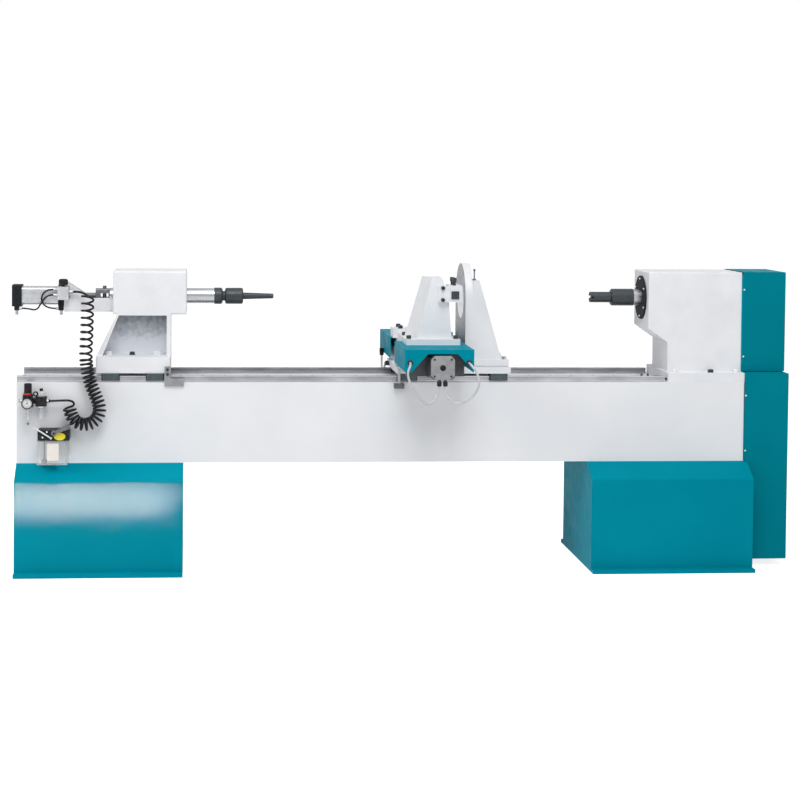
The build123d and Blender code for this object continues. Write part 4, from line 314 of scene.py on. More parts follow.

# %% [markdown]
# ## Gloss and orange peel
# Sprayed enamel is uneven: its gloss varies, the sheet below has a slow wave and the paint a
# fine orange peel. One noise steers the roughness, and two bumps, one on top of the other,
# make the wave and the peel, because both are far too fine to be modelled. The belt covers
# get a darker copy of the paint as painted shade, for the shade they stand in at the right end.

# %% Gloss and orange peel


def gloss(material, low, high, *grain):
    """Roughness that wanders between two values with a noise of a grain."""
    tree = material.node_tree
    span = add_node(tree, "MapRange", {"From Min": 0.3, "From Max": 0.7})
    span.inputs["To Min"].default_value = low
    span.inputs["To Max"].default_value = high
    tree.links.new(noise(material, *grain), span.inputs["Value"])
    tree.links.new(span.outputs["Result"], shader_of(material).inputs["Roughness"])


def relief(material, depth, *grain, strength=1.0):
    """A fine bump of a depth in metres; a second call goes on top of the first."""
    tree = material.node_tree
    bump = add_node(tree, "Bump", {"Distance": depth, "Strength": strength})
    tree.links.new(noise(material, *grain), bump.inputs["Height"])
    normal = shader_of(material).inputs["Normal"]
    if normal.is_linked:
        tree.links.new(normal.links[0].from_socket, bump.inputs["Normal"])
    tree.links.new(bump.outputs["Normal"], normal)


def batch(paint, name):
    """A copy of a paint under a name of its own, to be varied."""
    material = paint.copy()
    material.name = name
    return material


def dress(material, *names):
    """Give a finish to CAD nodes by name."""
    for name in names:
        nodes[name].data.materials.clear()
        nodes[name].data.materials.append(material)
    print(material.name, "on", *names)


gloss(teal_enamel, 0.32, 0.48, 24, 5)
relief(teal_enamel, 0.002, 4, 2, strength=0.3)
relief(teal_enamel, 0.00008, 700, 2)
dress(teal_enamel, "right_stand", "front_cover")

# Painted shade: the belt covers take a darker copy of the teal, for the shade at the right end.
shaded_cover_enamel = batch(teal_enamel, "shaded_cover_enamel")
tint(shaded_cover_enamel, (0.0003, 0.20, 0.262), (0.0005, 0.225, 0.292), 3.2, 6)
dress(shaded_cover_enamel, "upper_belt_cover", "lower_belt_cover")

# %% [markdown]
# ## White paints and greys
# The bed is welded and planed, so its white enamel lies smooth. The castings have the same
# white over filler, with a coarser relief. One white for both would be less work, but a
# casting would then look as smooth as a planed face. The motors are painted a dark grey, and
# the rail clamp is a bare die casting.

# %% White paints and greys
white_enamel = new_finish("white_enamel", (0.79, 0.80, 0.82), 0.0, 0.42)
tint(white_enamel, (0.755, 0.765, 0.79), (0.825, 0.83, 0.845), 2.6, 7)
gloss(white_enamel, 0.36, 0.52, 18, 5)
relief(white_enamel, 0.00012, 520, 2)
dress(white_enamel, "bed", "cylinder_bracket", "cross_plate")

cast_white = new_finish("cast_white", (0.79, 0.80, 0.82), 0.0, 0.45)
tint(cast_white, (0.75, 0.76, 0.785), (0.825, 0.83, 0.845), 9, 8)
gloss(cast_white, 0.40, 0.56, 40, 5)
relief(cast_white, 0.0004, 260, 4)
dress(cast_white, "headstock", "tailstock_slab", "tool_tower", "tool_holder")

motor_grey = new_finish("motor_grey", (0.06, 0.065, 0.07), 0.25, 0.5)
tint(motor_grey, (0.045, 0.048, 0.052), (0.085, 0.09, 0.096), 60, 5)
relief(motor_grey, 0.0001, 900, 2)
dress(motor_grey, "main_motor", "carriage_motor", "cross_motor")

die_cast = new_finish("die_cast", (0.27, 0.275, 0.285), 0.2, 0.55)
tint(die_cast, (0.235, 0.24, 0.25), (0.305, 0.31, 0.32), 50, 5)
relief(die_cast, 0.00015, 800, 3)
dress(die_cast, "rail_clamp")

# %% [markdown]
# ## Black glands and seal
# Some pieces are painted only in part. The cable glands of the rear cover and the saddle are
# black rubber, and so is the top of the belt cover's seal. A second material would need faces
# of its own, and the solids' meshes are left alone, so the paint itself changes: planes in the
# piece's own frame say where its second tone starts.

# %% Black glands and seal
LEFT, RIGHT = (-1, 0, 0), (1, 0, 0)
FRONT, REAR = (0, -1, 0), (0, 1, 0)
UP, DOWN = (0, 0, 1), (0, 0, -1)
COVER_GLAND_FACE = 0.0308
SADDLE_GLAND_FACE = 0.0302
COVER_SEAL_TOP = 1.083


def reach_along(tree, direction):
    """How far a spot lies along a direction, in metres from the origin."""
    along = add_node(tree, "VectorMath")
    along.operation = "DOT_PRODUCT"
    along.inputs[1].default_value = direction
    tree.links.new(add_node(tree, "TexCoord").outputs["Object"], along.inputs[0])
    return along.outputs["Value"]


def second_tone(material, planes, colour):
    """Another colour past every plane of a list of (direction, level)."""
    tree = material.node_tree
    mask = 1.0
    for direction, reach in planes:
        past = arithmetic(tree, "GREATER_THAN", reach_along(tree, direction), reach)
        mask = arithmetic(tree, "MULTIPLY", past, mask)
    mix = add_node(tree, "Mix")
    mix.data_type = "RGBA"
    base = shader_of(material).inputs["Base Color"]
    for name, source in (("Factor", mask), ("A", base.links[0].from_socket), ("B", colour)):
        tree.links.new(source, mix.inputs[name])
    tree.links.new(mix.outputs["Result"], base)


for node, paint, name, plane in (
    ("rear_cover", teal_enamel, "rear_enamel", (LEFT, COVER_GLAND_FACE)),
    ("cover_seal", teal_enamel, "seal_enamel", (UP, COVER_SEAL_TOP)),
    ("saddle", white_enamel, "saddle_paint", (LEFT, SADDLE_GLAND_FACE)),
):
    two_tone = batch(paint, name)
    rubber = shades(two_tone, noise(two_tone, 90), (0.010, 0.010, 0.011), (0.02, 0.02, 0.022))
    second_tone(two_tone, [plane], rubber)
    dress(two_tone, node)

# %% [markdown]
# ## Shaded end, grey face and pale plate
# The end of the cross bed that carries the motor is painted dark, as painted shade under the
# front cover. The face of the steady rest that looks at the tailstock is a mottled grey,
# darker than its white, and the switch's plate is paler than its block. The saddle keeps its
# black glands, because a second tone takes up the colour that was there before.

# %% Shaded end, grey face and pale plate
CROSS_BED_END = 0.295
SWITCH_PLATE_FOOT = 0.683
PLANE_MARGIN = 0.0002
saddle_paint = nodes["saddle"].data.materials[0]
saddle_grain = noise(saddle_paint, 60)
# Painted shade: the cross bed's end under the front cover is painted dark, for the shade there.
shade_under_cover = shades(saddle_paint, saddle_grain, (0.045, 0.05, 0.055), (0.07, 0.075, 0.08))
second_tone(saddle_paint, [(FRONT, CROSS_BED_END)], shade_under_cover)

steady_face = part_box("steady_rest")[0].x
steady_paint = batch(cast_white, "steady_paint")
steady_grain = noise(steady_paint, 70, 6)
# The face that looks at the tailstock gets a mottled grey, darker than the white.
mottled_grey_face = shades(steady_paint, steady_grain, (0.34, 0.35, 0.37), (0.52, 0.53, 0.55))
second_tone(steady_paint, [(LEFT, -steady_face - PLANE_MARGIN)], mottled_grey_face)
dress(steady_paint, "steady_rest")

switch_paint = new_finish("switch_paint", (0.10, 0.105, 0.11), 0.0, 0.5)
tint(switch_paint, (0.085, 0.09, 0.095), (0.12, 0.125, 0.13), 80)
plate_grain = noise(switch_paint, 60)
pale_plate = shades(switch_paint, plate_grain, (0.42, 0.43, 0.44), (0.52, 0.53, 0.54))
second_tone(switch_paint, [(UP, SWITCH_PLATE_FOOT)], pale_plate)
dress(switch_paint, "limit_switch")

# %% [markdown]
# ## Polish of the left stand
# The left stand is a little better polished than the right one, so that it mirrors the window
# more sharply. Its paint is one more batch of the enamel with less roughness, because a lower
# roughness for all would make a mirror of every cover. The bumps stay, and they make the edge
# of the mirrored window wander.

# %% Polish of the left stand
left_enamel = batch(teal_enamel, "left_enamel")
gloss(left_enamel, 0.045, 0.075, 24, 5)
shader_of(left_enamel).inputs["Specular IOR Level"].default_value = 0.012
dress(left_enamel, "left_stand")

# %% [markdown]
# ## Primer and painted shade in the tailstock's pocket
# The pocket in the tailstock's foot is grey primer, painted darker towards its roof as painted
# shade in the recess. The height above the pocket's floor and a noise are added up, and the
# sum picks the shade. Six planes close the pocket in, one of them slanting like its left side.
# A painted picture would do as well, but it would need a UV map, and the solid has none.

# %% Primer and painted shade in the tailstock's pocket
POCKET_FLOOR = 0.777
POCKET_ROOF = 0.9245
POCKET_SIDE = 0.1045
POCKET_RIGHT = -0.8695
POCKET_LEAN = 0.398
POCKET_LEFT_AT_FLOOR = -1.1035
ROOF_SHADE_RATE = 5.0
PRIMER_MOTTLE = 0.55
tail_paint = batch(cast_white, "tail_paint")
tail_tree = tail_paint.node_tree
# Painted shade: the pocket is painted darker with the height, towards the roof that shades it.
rise = arithmetic(tail_tree, "SUBTRACT", reach_along(tail_tree, UP), POCKET_FLOOR)
roof_shade = arithmetic(tail_tree, "MULTIPLY", rise, ROOF_SHADE_RATE)
mottle_and_roof_shade = arithmetic(tail_tree, "MULTIPLY_ADD", noise(tail_paint, 55, 8), PRIMER_MOTTLE, roof_shade)
primer_and_roof_shade = shades(tail_paint, mottle_and_roof_shade, (0.78, 0.81, 0.86), (0.27, 0.295, 0.335), 0.55, 1.0)
pocket = [
    (UP, POCKET_FLOOR),
    (DOWN, -POCKET_ROOF),
    (REAR, -POCKET_SIDE),
    (FRONT, -POCKET_SIDE),
    (LEFT, -POCKET_RIGHT),
    ((1, 0, -POCKET_LEAN), POCKET_LEFT_AT_FLOOR - POCKET_LEAN * POCKET_FLOOR),
]
second_tone(tail_paint, pocket, primer_and_roof_shade)
dress(tail_paint, "tailstock_casting")

# %% [markdown]
# ## Metals
# The rails and screws are ground: their grain runs along X, so the noise is squeezed along that
# axis into long scratches. An anisotropic shader would stretch the highlights too, but it draws
# no scratch that one can see from near. The quill is hard chromed. The centres, the collar and
# the socket screws are black oxide, a dark skin that wears grey. The cylinder is clear anodised
# aluminium. Bare metals have a metal value of one, and dark skins only a part of it or none.

# %% Metals
ground_steel = new_finish("ground_steel", (0.36, 0.365, 0.385), 1.0, 0.32)
tint(ground_steel, (0.30, 0.305, 0.325), (0.44, 0.445, 0.465), 30, 6, (0.3, 1, 1))
gloss(ground_steel, 0.24, 0.42, 400, 3, (0.02, 1, 1))
relief(ground_steel, 0.00006, 900, 2, (0.01, 1, 1))
dress(ground_steel, "bed_rails", "carriage_screw", "cross_screw", "cross_rails")
dress(ground_steel, "shaft_bearings", "spindle_shaft", "valve_fittings")

chromed_steel = new_finish("chromed_steel", (0.40, 0.405, 0.42), 1.0, 0.16)
tint(chromed_steel, (0.33, 0.335, 0.35), (0.46, 0.465, 0.48), 40, 5, (0.1, 1, 1))
gloss(chromed_steel, 0.12, 0.24, 60, 5, (0.2, 1, 1))
relief(chromed_steel, 0.00002, 700, 2, (1, 0.05, 0.05))
dress(chromed_steel, "quill")

black_oxide = new_finish("black_oxide", (0.026, 0.033, 0.038), 0.3, 0.42)
tint(black_oxide, (0.021, 0.027, 0.031), (0.032, 0.040, 0.046), 60, 6)
gloss(black_oxide, 0.34, 0.5, 160, 4)
relief(black_oxide, 0.00003, 1200, 2)
dress(black_oxide, "drive_centre", "live_centre", "quill_collar", "slide_bolts", "tool_bar")

anodised = new_finish("anodised", (0.42, 0.43, 0.445), 1.0, 0.42)
tint(anodised, (0.38, 0.39, 0.405), (0.47, 0.48, 0.495), 45, 5)
gloss(anodised, 0.34, 0.5, 500, 3, (0.04, 1, 1))
dress(anodised, "cylinder_tube", "valve_body", "spindle_pulley", "motor_pulley")

black_anodised = new_finish("black_anodised", (0.022, 0.025, 0.028), 0.0, 0.55, mirror=0.03)
tint(black_anodised, (0.018, 0.021, 0.024), (0.027, 0.030, 0.034), 70, 5)
relief(black_anodised, 0.00005, 1100, 2)
dress(black_anodised, "bearing_cap", "cylinder_caps")

block_steel = new_finish("block_steel", (0.05, 0.07, 0.075), 0.35, 0.42)
tint(block_steel, (0.042, 0.06, 0.065), (0.06, 0.082, 0.088), 80, 5)
relief(block_steel, 0.00004, 900, 2, (0.05, 1, 1))
dress(block_steel, "tailstock_blocks", "carriage_blocks")

forged_steel = new_finish("forged_steel", (0.14, 0.145, 0.15), 0.6, 0.42)
tint(forged_steel, (0.11, 0.115, 0.12), (0.18, 0.185, 0.19), 120, 5)
relief(forged_steel, 0.00012, 600, 3)
dress(forged_steel, "rod_clevis", "pump_lever")

# %% [markdown]
# ## Plastics, rubber and clear bowls
# The air unit and the pump head are moulded in black nylon with a fine spark-eroded grain.
# The belt is rubber, the hoses are smooth polyurethane and the cables have a grey sheath. The
# bowls and the oil tank are thin clear polycarbonate. Real glass would bend the light twice
# and need many samples, so a low alpha lets one look through, and they cast no shadow.

# %% Plastics, rubber and clear bowls
black_nylon = new_finish("black_nylon", (0.018, 0.018, 0.02), 0.0, 0.48, mirror=0.12)
tint(black_nylon, (0.012, 0.012, 0.014), (0.03, 0.03, 0.033), 80, 4)
relief(black_nylon, 0.00006, 2200, 2)
dress(black_nylon, "air_unit_body", "regulator_knob", "pump_head", "gauge_needle")
dress(black_nylon, "valve_knob", "pressure_gauge")

belt_rubber = new_finish("belt_rubber", (0.02, 0.02, 0.02), 0.0, 0.8)
tint(belt_rubber, (0.014, 0.014, 0.014), (0.028, 0.027, 0.026), 120, 5)
relief(belt_rubber, 0.0002, 900, 3)
dress(belt_rubber, "drive_belt")

clear_bowl = new_finish("clear_bowl", (0.91, 0.93, 0.94), 0.0, 0.12, alpha=0.15)
tint(clear_bowl, (0.86, 0.89, 0.90), (0.93, 0.95, 0.96), 40, 3)
clear_tank = new_finish("clear_tank", (0.97, 0.975, 0.98), 0.0, 0.12, alpha=0.14)
tint(clear_tank, (0.95, 0.96, 0.97), (0.985, 0.985, 0.99), 30, 3)
for clear, node in ((clear_bowl, "air_bowls"), (clear_tank, "oil_tank")):
    gloss(clear, 0.06, 0.16, 90, 3)
    dress(clear, node)
    nodes[node].visible_shadow = False

hose_skin = new_finish("hose_skin", (0.012, 0.012, 0.014), 0.0, 0.3, mirror=0.15)
tint(hose_skin, (0.009, 0.009, 0.011), (0.016, 0.016, 0.018), 90, 4)
gloss(hose_skin, 0.22, 0.38, 140, 4)
relief(hose_skin, 0.00003, 1500, 2)
dress(hose_skin, "air_hose", "cylinder_hose_front", "cylinder_hose_rear")

cable_sheath = new_finish("cable_sheath", (0.56, 0.565, 0.575), 0.0, 0.5)
tint(cable_sheath, (0.5, 0.505, 0.515), (0.62, 0.625, 0.635), 60, 4)
relief(cable_sheath, 0.00005, 1400, 2)
dress(cable_sheath, "motor_cable_left", "motor_cable_right", "cover_conduit")

# %% [markdown]
# ## Line of a hose
# A hose or a cable is a smooth line with a round section. Its route's points are the control
# points of a NURBS curve, which rounds the corners by itself, where a Bezier curve would want
# two handles for each point. The two hoses of the air cylinder go from the hand valve to the
# cylinder's caps.

# %% Line of a hose
front_hose_route = [
    (-1.2840, -0.0575, 1.0150),
    (-1.3126, -0.0575, 1.0150),
    (-1.3333, -0.0525, 0.9793),
    (-1.3126, -0.0305, 0.9435),
    (-1.2770, -0.0305, 0.9435),
]
rear_hose_route = [
    (-1.2840, -0.0575, 0.9950),
    (-1.3060, -0.0575, 0.9950),
    (-1.3265, -0.0665, 0.9693),
    (-1.3465, -0.0365, 0.9355),
    (-1.3825, -0.0305, 0.9435),
    (-1.4005, -0.0305, 0.9435),
]


def nurbs_curve(name, points, resolution=8):
    """A smooth open curve with the points as its control points."""
    bpy.ops.object.select_all(action="DESELECT")
    data = bpy.data.curves.new(name, "CURVE")
    data.dimensions = "3D"
    data.resolution_u = resolution
    spline = data.splines.new("NURBS")
    spline.points.add(len(points) - 1)
    for control, point in zip(spline.points, points):
        control.co = (*point, 1)
    spline.order_u = 3
    spline.use_endpoint_u = True
    curve = bpy.data.objects.new(name, data)
    scene.collection.objects.link(curve)
    return curve


def curve_points(curve):
    """The points of a curve with no bevel, read back from its evaluated line."""
    bpy.context.view_layer.update()
    evaluated = curve.evaluated_get(bpy.context.evaluated_depsgraph_get())
    mesh = bpy.data.meshes.new_from_object(evaluated)
    points = [vertex.co.copy() for vertex in mesh.vertices]
    bpy.data.meshes.remove(mesh)
    return points


def run_length(points):
    """Length of a line of points."""
    return sum((Vector(b) - Vector(a)).length for a, b in zip(points, points[1:]))


for route in (front_hose_route, rear_hose_route):
    print("a route of", len(route), "points,", round(run_length(route), 3), "m with its corners")

# %% [markdown]
# ## Hoses of the air cylinder
# The curve is bevelled to the hose's diameter, its ends are closed, and it is made a mesh that
# stands for the plain solid of the hose. A circle extruded along the route by hand would kink
# at the corners. Both hoses ride with the tailstock.

# %% Hoses of the air cylinder
HOSE_DIAMETER = 0.006


def make_tube(curve, diameter, material):
    """Bevel a curve to a round tube, close its ends and make it a mesh."""
    curve.data.bevel_depth = diameter / 2
    curve.data.bevel_resolution = 4
    curve.data.use_fill_caps = True
    bpy.context.view_layer.objects.active = curve
    curve.select_set(True)
    bpy.ops.object.convert(target="MESH")
    tube = bpy.context.object
    bpy.ops.object.shade_smooth_by_angle(angle=math.radians(50))
    tube.data.materials.clear()
    tube.data.materials.append(material)
    tube.select_set(False)
    return tube


def declare_cord(tube, node, path):
    """Put a cord in the place of its solid and say how it runs."""
    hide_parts(node)
    print(tube.name, round(run_length(path), 3), "m,", len(tube.data.polygons), "faces")


def lay_cord(name, node, route, diameter, material):
    curve = nurbs_curve(name, route)
    path = curve_points(curve)
    tube = make_tube(curve, diameter, material)
    declare_cord(tube, node, path)
    return tube


for end, route in (("front", front_hose_route), ("rear", rear_hose_route)):
    solid = f"cylinder_hose_{end}"
    cylinder_hose = lay_cord(
        f"{end}_cylinder_hose", solid, route, HOSE_DIAMETER, hose_skin
    )
    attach(cylinder_hose, "tailstock")

# %% [markdown]
# ## Cables of the carriage
# Two grey cables hang from the front cover to the cross motor, and one at the rear from the
# rear cover to the saddle. Cover and motor ride on different bodies, and the cables are laid
# once, where they hang.

# %% Cables of the carriage
CABLE_DIAMETER = 0.008
left_cable_route = [
    (-0.0125, -0.4280, 0.7850),
    (-0.0125, -0.4600, 0.7850),
    (-0.0285, -0.4660, 0.7490),
    (-0.0105, -0.4600, 0.7050),
    (0.0195, -0.4460, 0.6610),
    (0.0523, -0.4300, 0.6320),
    (0.0843, -0.4156, 0.6600),
    (0.0933, -0.4126, 0.6900),
    (0.0933, -0.4126, 0.7120),
]
right_cable_route = [
    (0.1965, -0.4280, 0.7850),
    (0.1965, -0.4600, 0.7850),
    (0.2215, -0.4680, 0.7520),
    (0.2295, -0.4640, 0.7120),
    (0.2105, -0.4540, 0.6720),
    (0.1698, -0.4360, 0.6400),
    (0.1308, -0.4166, 0.6500),
    (0.1148, -0.4126, 0.6840),
    (0.1148, -0.4126, 0.7120),
]
rear_cable_route = [
    (-0.0385, 0.2830, 0.7520),
    (-0.0385, 0.2830, 0.7240),
    (-0.0385, 0.2770, 0.6940),
    (-0.0385, 0.2570, 0.6720),
    (-0.0385, 0.2280, 0.6660),
    (-0.0385, 0.2020, 0.6780),
    (-0.0385, 0.1840, 0.7020),
    (-0.0385, 0.1580, 0.7220),
    (-0.0385, 0.1260, 0.7300),
    (-0.0385, 0.0960, 0.7300),
]
left_bend_end = (-0.0125, -0.4126, 0.7120)
right_bend_end = (0.2054, -0.4126, 0.7256)
for name, node, route, bend_end in (
    ("left_motor_cable", "motor_cable_left", left_cable_route, left_bend_end),
    ("right_motor_cable", "motor_cable_right", right_cable_route, right_bend_end),
    ("rear_switch_cable", "cover_conduit", rear_cable_route, rear_cable_route[0]),
):
    cable = lay_cord(name, node, route, CABLE_DIAMETER, cable_sheath)
    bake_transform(cable)

# %% [markdown]
# ## Middle line of the curly hose
# The air reaches the tailstock's hand valve through a coiled polyurethane hose. Its coil hangs
# from the valve, stretched by its own weight at the top, and curls up to the lubricator. First
# comes the line through the middle of the coil, a NURBS curve again: down from the valve and
# round in a loop. It is read back as points and taken away.

# %% Middle line of the curly hose
LOOP_RADIUS = 0.054
LOOP_ALLOWANCE = 1.03
valve_port = Vector((-1.2130, -0.0575, 1.0070))
unit_port = Vector((-1.2860, -0.1970, 0.6230))
loop_middle = Vector((-1.1600, -0.2060, 0.5920))
coil_route = [
    Vector((-1.1570, -0.1005, 1.0000)),
    Vector((-1.1570, -0.1255, 0.9170)),
    Vector((-1.1580, -0.1635, 0.8320)),
    Vector((-1.1590, -0.1920, 0.7670)),
    Vector((-1.1440, -0.2060, 0.6940)),
    Vector((-1.1240, -0.2060, 0.6480)),
]
reach = LOOP_RADIUS * LOOP_ALLOWANCE
for angle in (10, -30, -70, -110, -150, -188):
    turned = math.radians(angle)
    coil_route.append(loop_middle + Vector((math.cos(turned), 0, math.sin(turned))) * reach)

middle_curve = nurbs_curve("coil_middle", coil_route, 24)
middle = curve_points(middle_curve)
bpy.data.objects.remove(middle_curve)
stations = [0.0]
for a, b in zip(middle, middle[1:]):
    stations.append(stations[-1] + (b - a).length)
middle_run = stations[-1]


def on_middle(share):
    """Place and heading at a share of the coil's middle line."""
    distance = min(max(share, 0), 1) * middle_run
    index = 0
    while index < len(stations) - 2 and stations[index + 1] < distance:
        index += 1
    part = (distance - stations[index]) / (stations[index + 1] - stations[index])
    before = middle[max(index - 6, 0)]
    after = middle[min(index + 7, len(middle) - 1)]
    return middle[index].lerp(middle[index + 1], part), (after - before).normalized()


print("middle line", round(middle_run, 3), "m,", len(middle), "points")

# %% [markdown]
# ## Turns of the curly hose
# The turns are control points about the middle line, sixteen to a turn. The loose turns come
# first and the tight ones share out the rest of the line. A Screw modifier winds about a
# straight axis only, so the points are worked out one by one. Short leads join the coil to
# the valve and to the lubricator.

# %% Turns of the curly hose
AIR_HOSE_DIAMETER = 0.008
COIL_RADIUS = 0.021
COIL_ALLOWANCE = 1.01
LOOSE_TURNS = 9
TIGHT_TURNS = 24
LOOSE_PITCH = 0.027
POINTS_PER_TURN = 16
VALVE_LEADS = ((0, 0, 0), (0.012, 0, 0), (0.030, -0.004, -0.001))
UNIT_LEADS = (
    (0.083, 0.011, -0.020),
    (0.088, 0.010, -0.010),
    (0.076, 0.009, 0.001),
    (0.044, 0.004, 0.001),
    (0.012, 0, 0),
    (0, 0, 0),
)
loose_share = LOOSE_TURNS * LOOSE_PITCH / middle_run


def coil_place(turns):
    """A control point of the coil after a number of turns from its back."""
    share = turns * loose_share / LOOSE_TURNS
    if turns > LOOSE_TURNS:
        share = loose_share + (turns - LOOSE_TURNS) * (1 - loose_share) / TIGHT_TURNS
    place, ahead = on_middle(share)
    back = Vector(REAR) - ahead * ahead.y
    back.normalize()
    aside = back.cross(ahead)
    angle = -2 * math.pi * turns
    offset = back * math.cos(angle) - aside * math.sin(angle)
    return place + offset * COIL_RADIUS * COIL_ALLOWANCE


hose_points = [valve_port + Vector(lead) for lead in VALVE_LEADS]
for index in range(POINTS_PER_TURN * (LOOSE_TURNS + TIGHT_TURNS) + 1):
    hose_points.append(coil_place(index / POINTS_PER_TURN))
hose_points += [unit_port + Vector(lead) for lead in UNIT_LEADS]
hose_curve = nurbs_curve("curly_air_hose", hose_points, 2)
hose_path = list(reversed(curve_points(hose_curve)))
hose = make_tube(hose_curve, AIR_HOSE_DIAMETER, hose_skin)
declare_cord(hose, "air_hose", hose_path)
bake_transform(hose)

# %% [markdown]
# ## Picking, adding and closing
# Screws and trims are modelled in edit mode, the way a hand would do it. An operator acts on
# all that is selected, so everything is set aside before a piece is begun, and its faces are
# then picked by their normal. A primitive that is added in edit mode becomes a part of the open
# piece. When the piece is done its place goes into its mesh and it gets its finish.

# %% Picking, adding and closing


def set_aside():
    """Leave edit mode, if a piece is open, and deselect everything."""
    if bpy.context.mode != "OBJECT":
        bpy.ops.object.mode_set(mode="OBJECT")
    bpy.ops.object.select_all(action="DESELECT")


def begin(piece):
    """Open one piece for editing."""
    set_aside()
    bpy.context.view_layer.objects.active = piece
    piece.select_set(True)
    bpy.ops.object.mode_set(mode="EDIT")


def pick_top(piece):
    """Select the faces of the open piece that look up."""
    bpy.ops.mesh.select_mode(type="FACE")
    bpy.ops.mesh.select_all(action="DESELECT")
    bpy.ops.object.mode_set(mode="OBJECT")
    for face in piece.data.polygons:
        face.select = face.normal.z > 0.9
    bpy.ops.object.mode_set(mode="EDIT")


def add_cylinder(sides, radius, depth, foot=0.0):
    """A cylinder that stands on a level: a new piece, or a part of the one that is open."""
    middle = (0, 0, foot + depth / 2)
    bpy.ops.mesh.primitive_cylinder_add(vertices=sides, radius=radius, depth=depth, location=middle)
    return bpy.context.object


def close(piece, material, angle=35):
    """Make a piece a pattern: its place goes into the mesh, edges past an angle stay sharp."""
    bpy.ops.object.mode_set(mode="OBJECT")
    bpy.ops.object.transform_apply(location=True, rotation=True, scale=True)
    bpy.ops.object.shade_smooth_by_angle(angle=math.radians(angle))
    piece.name = "pattern"
    piece.data.materials.clear()
    piece.data.materials.append(material)
    piece.select_set(False)
    return piece


set_aside()
print("selected", len(bpy.context.selected_objects), "in mode", bpy.context.mode)

# %% [markdown]
# ## A hexagon bolt
# The castings are held down by hexagon bolts on washers. The bolt is modelled once: a six-sided
# cylinder, its top face bevelled for the chamfered crown, and a round washer added below it in
# the same mesh. It stands on the origin with its head up and serves as a pattern for its
# copies, so all bolts of a size are alike.

# %% A hexagon bolt


def hexagon_head(across, height, material):
    """A hexagon head with a chamfered crown, on a round washer."""
    set_aside()
    washer = height / 4
    head = add_cylinder(6, across / math.sqrt(3), height, washer)
    begin(head)
    pick_top(head)
    bpy.ops.mesh.bevel(offset=across * 0.08, segments=2, affect="EDGES")
    add_cylinder(24, across * 0.64, washer)
    return close(head, material)


flange_bolt = hexagon_head(0.018, 0.009, black_oxide)
painted_bolt = hexagon_head(0.018, 0.009, cast_white)
print("a hexagon bolt has", len(flange_bolt.data.polygons), "faces")

# %% [markdown]
# ## Bolts of the headstock
# Six bolts hold the headstock's flange on the bed. Four are black oxide, and two were painted
# over with the casting. Copies of the pattern, each with its own mesh, are set out on their
# seats and joined, so that a row of bolts is one piece that rides on its body. An Array
# modifier would be quicker, but it wants even steps.

# %% Bolts of the headstock
FLANGE_TOP = 0.720
FLANGE_LINE = 0.137
FLANGE_BOLTS = (1.012, 1.148, 1.245)


def hang(piece, name, body):
    """Name a finished piece, and attach it to the body that it rides on."""
    piece.name = name
    piece.select_set(False)
    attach(piece, body)
    print(name, len(piece.data.polygons), "faces")


def set_out(pattern, name, body, spots, heading=UP):
    """Copies of a pattern on their seats, its top along a heading, joined into one piece."""
    set_aside()
    tilt = Vector(UP).rotation_difference(Vector(heading)).to_matrix().to_4x4()
    for spot in spots:
        copy = pattern.copy()
        copy.data = pattern.data.copy()
        scene.collection.objects.link(copy)
        copy.matrix_world = Matrix.Translation(spot) @ tilt
        copy.select_set(True)
        bpy.context.view_layer.objects.active = copy
    if len(spots) > 1:
        bpy.ops.object.join()
    bpy.ops.object.transform_apply(location=True, rotation=True, scale=True)
    piece = bpy.context.object
    hang(piece, name, body)
    return piece


spots = [(FLANGE_BOLTS[1], -FLANGE_LINE, FLANGE_TOP)]
spots += [(bolt_x, FLANGE_LINE, FLANGE_TOP) for bolt_x in FLANGE_BOLTS]
set_out(flange_bolt, "headstock_bolts", "frame", spots)
spots = [(bolt_x, -FLANGE_LINE, FLANGE_TOP) for bolt_x in (FLANGE_BOLTS[0], FLANGE_BOLTS[2])]
set_out(painted_bolt, "headstock_painted_bolts", "frame", spots)

# %% [markdown]
# ## A socket screw
# Where a spanner can't reach there are socket screws: a round head with a hexagon sunk in it.
# The head's rim is rounded by a bevel, and the hexagon is cut by a boolean with a six-sided
# prism, which is quicker than drawing a hexagon into a round face by hand. Two stand on the
# front rail as stops for the carriage, and one sits in the end of the headstock's flange.

# %% A socket screw
RAIL_LINE = 0.140
FLANGE_LENGTH = 0.288
STOP_SCREWS = (0.8865, 0.910)
END_SCREW_LEVEL = 0.696


def carve(piece, cutter):
    """Cut one piece out of another and clear the cutter away."""
    set_aside()
    bpy.context.view_layer.objects.active = piece
    piece.select_set(True)
    cut = piece.modifiers.new("cut", "BOOLEAN")
    cut.operation = "DIFFERENCE"
    cut.object = cutter
    bpy.ops.object.modifier_apply(modifier=cut.name)
    bpy.data.objects.remove(cutter)


def socket_head(diameter, height, rounding, material):
    """A round head with a hexagon sunk in its top."""
    set_aside()
    head = add_cylinder(24, diameter / 2, height)
    begin(head)
    pick_top(head)
    bpy.ops.mesh.bevel(offset=rounding, segments=3, affect="EDGES")
    set_aside()
    carve(head, add_cylinder(6, diameter * 0.3, height, height / 2))
    return close(head, material)


rail_low, rail_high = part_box("bed_rails")
flange_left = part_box("bed")[1].x - FLANGE_LENGTH
stop_screw = socket_head(0.008, 0.007, 0.001, black_oxide)
spots = [(screw_x, -RAIL_LINE, rail_high.z) for screw_x in STOP_SCREWS]
set_out(stop_screw, "rail_stop_screws", "frame", spots)
spots = [(flange_left, -RAIL_LINE, END_SCREW_LEVEL)]
set_out(stop_screw, "flange_end_screw", "frame", spots, LEFT)

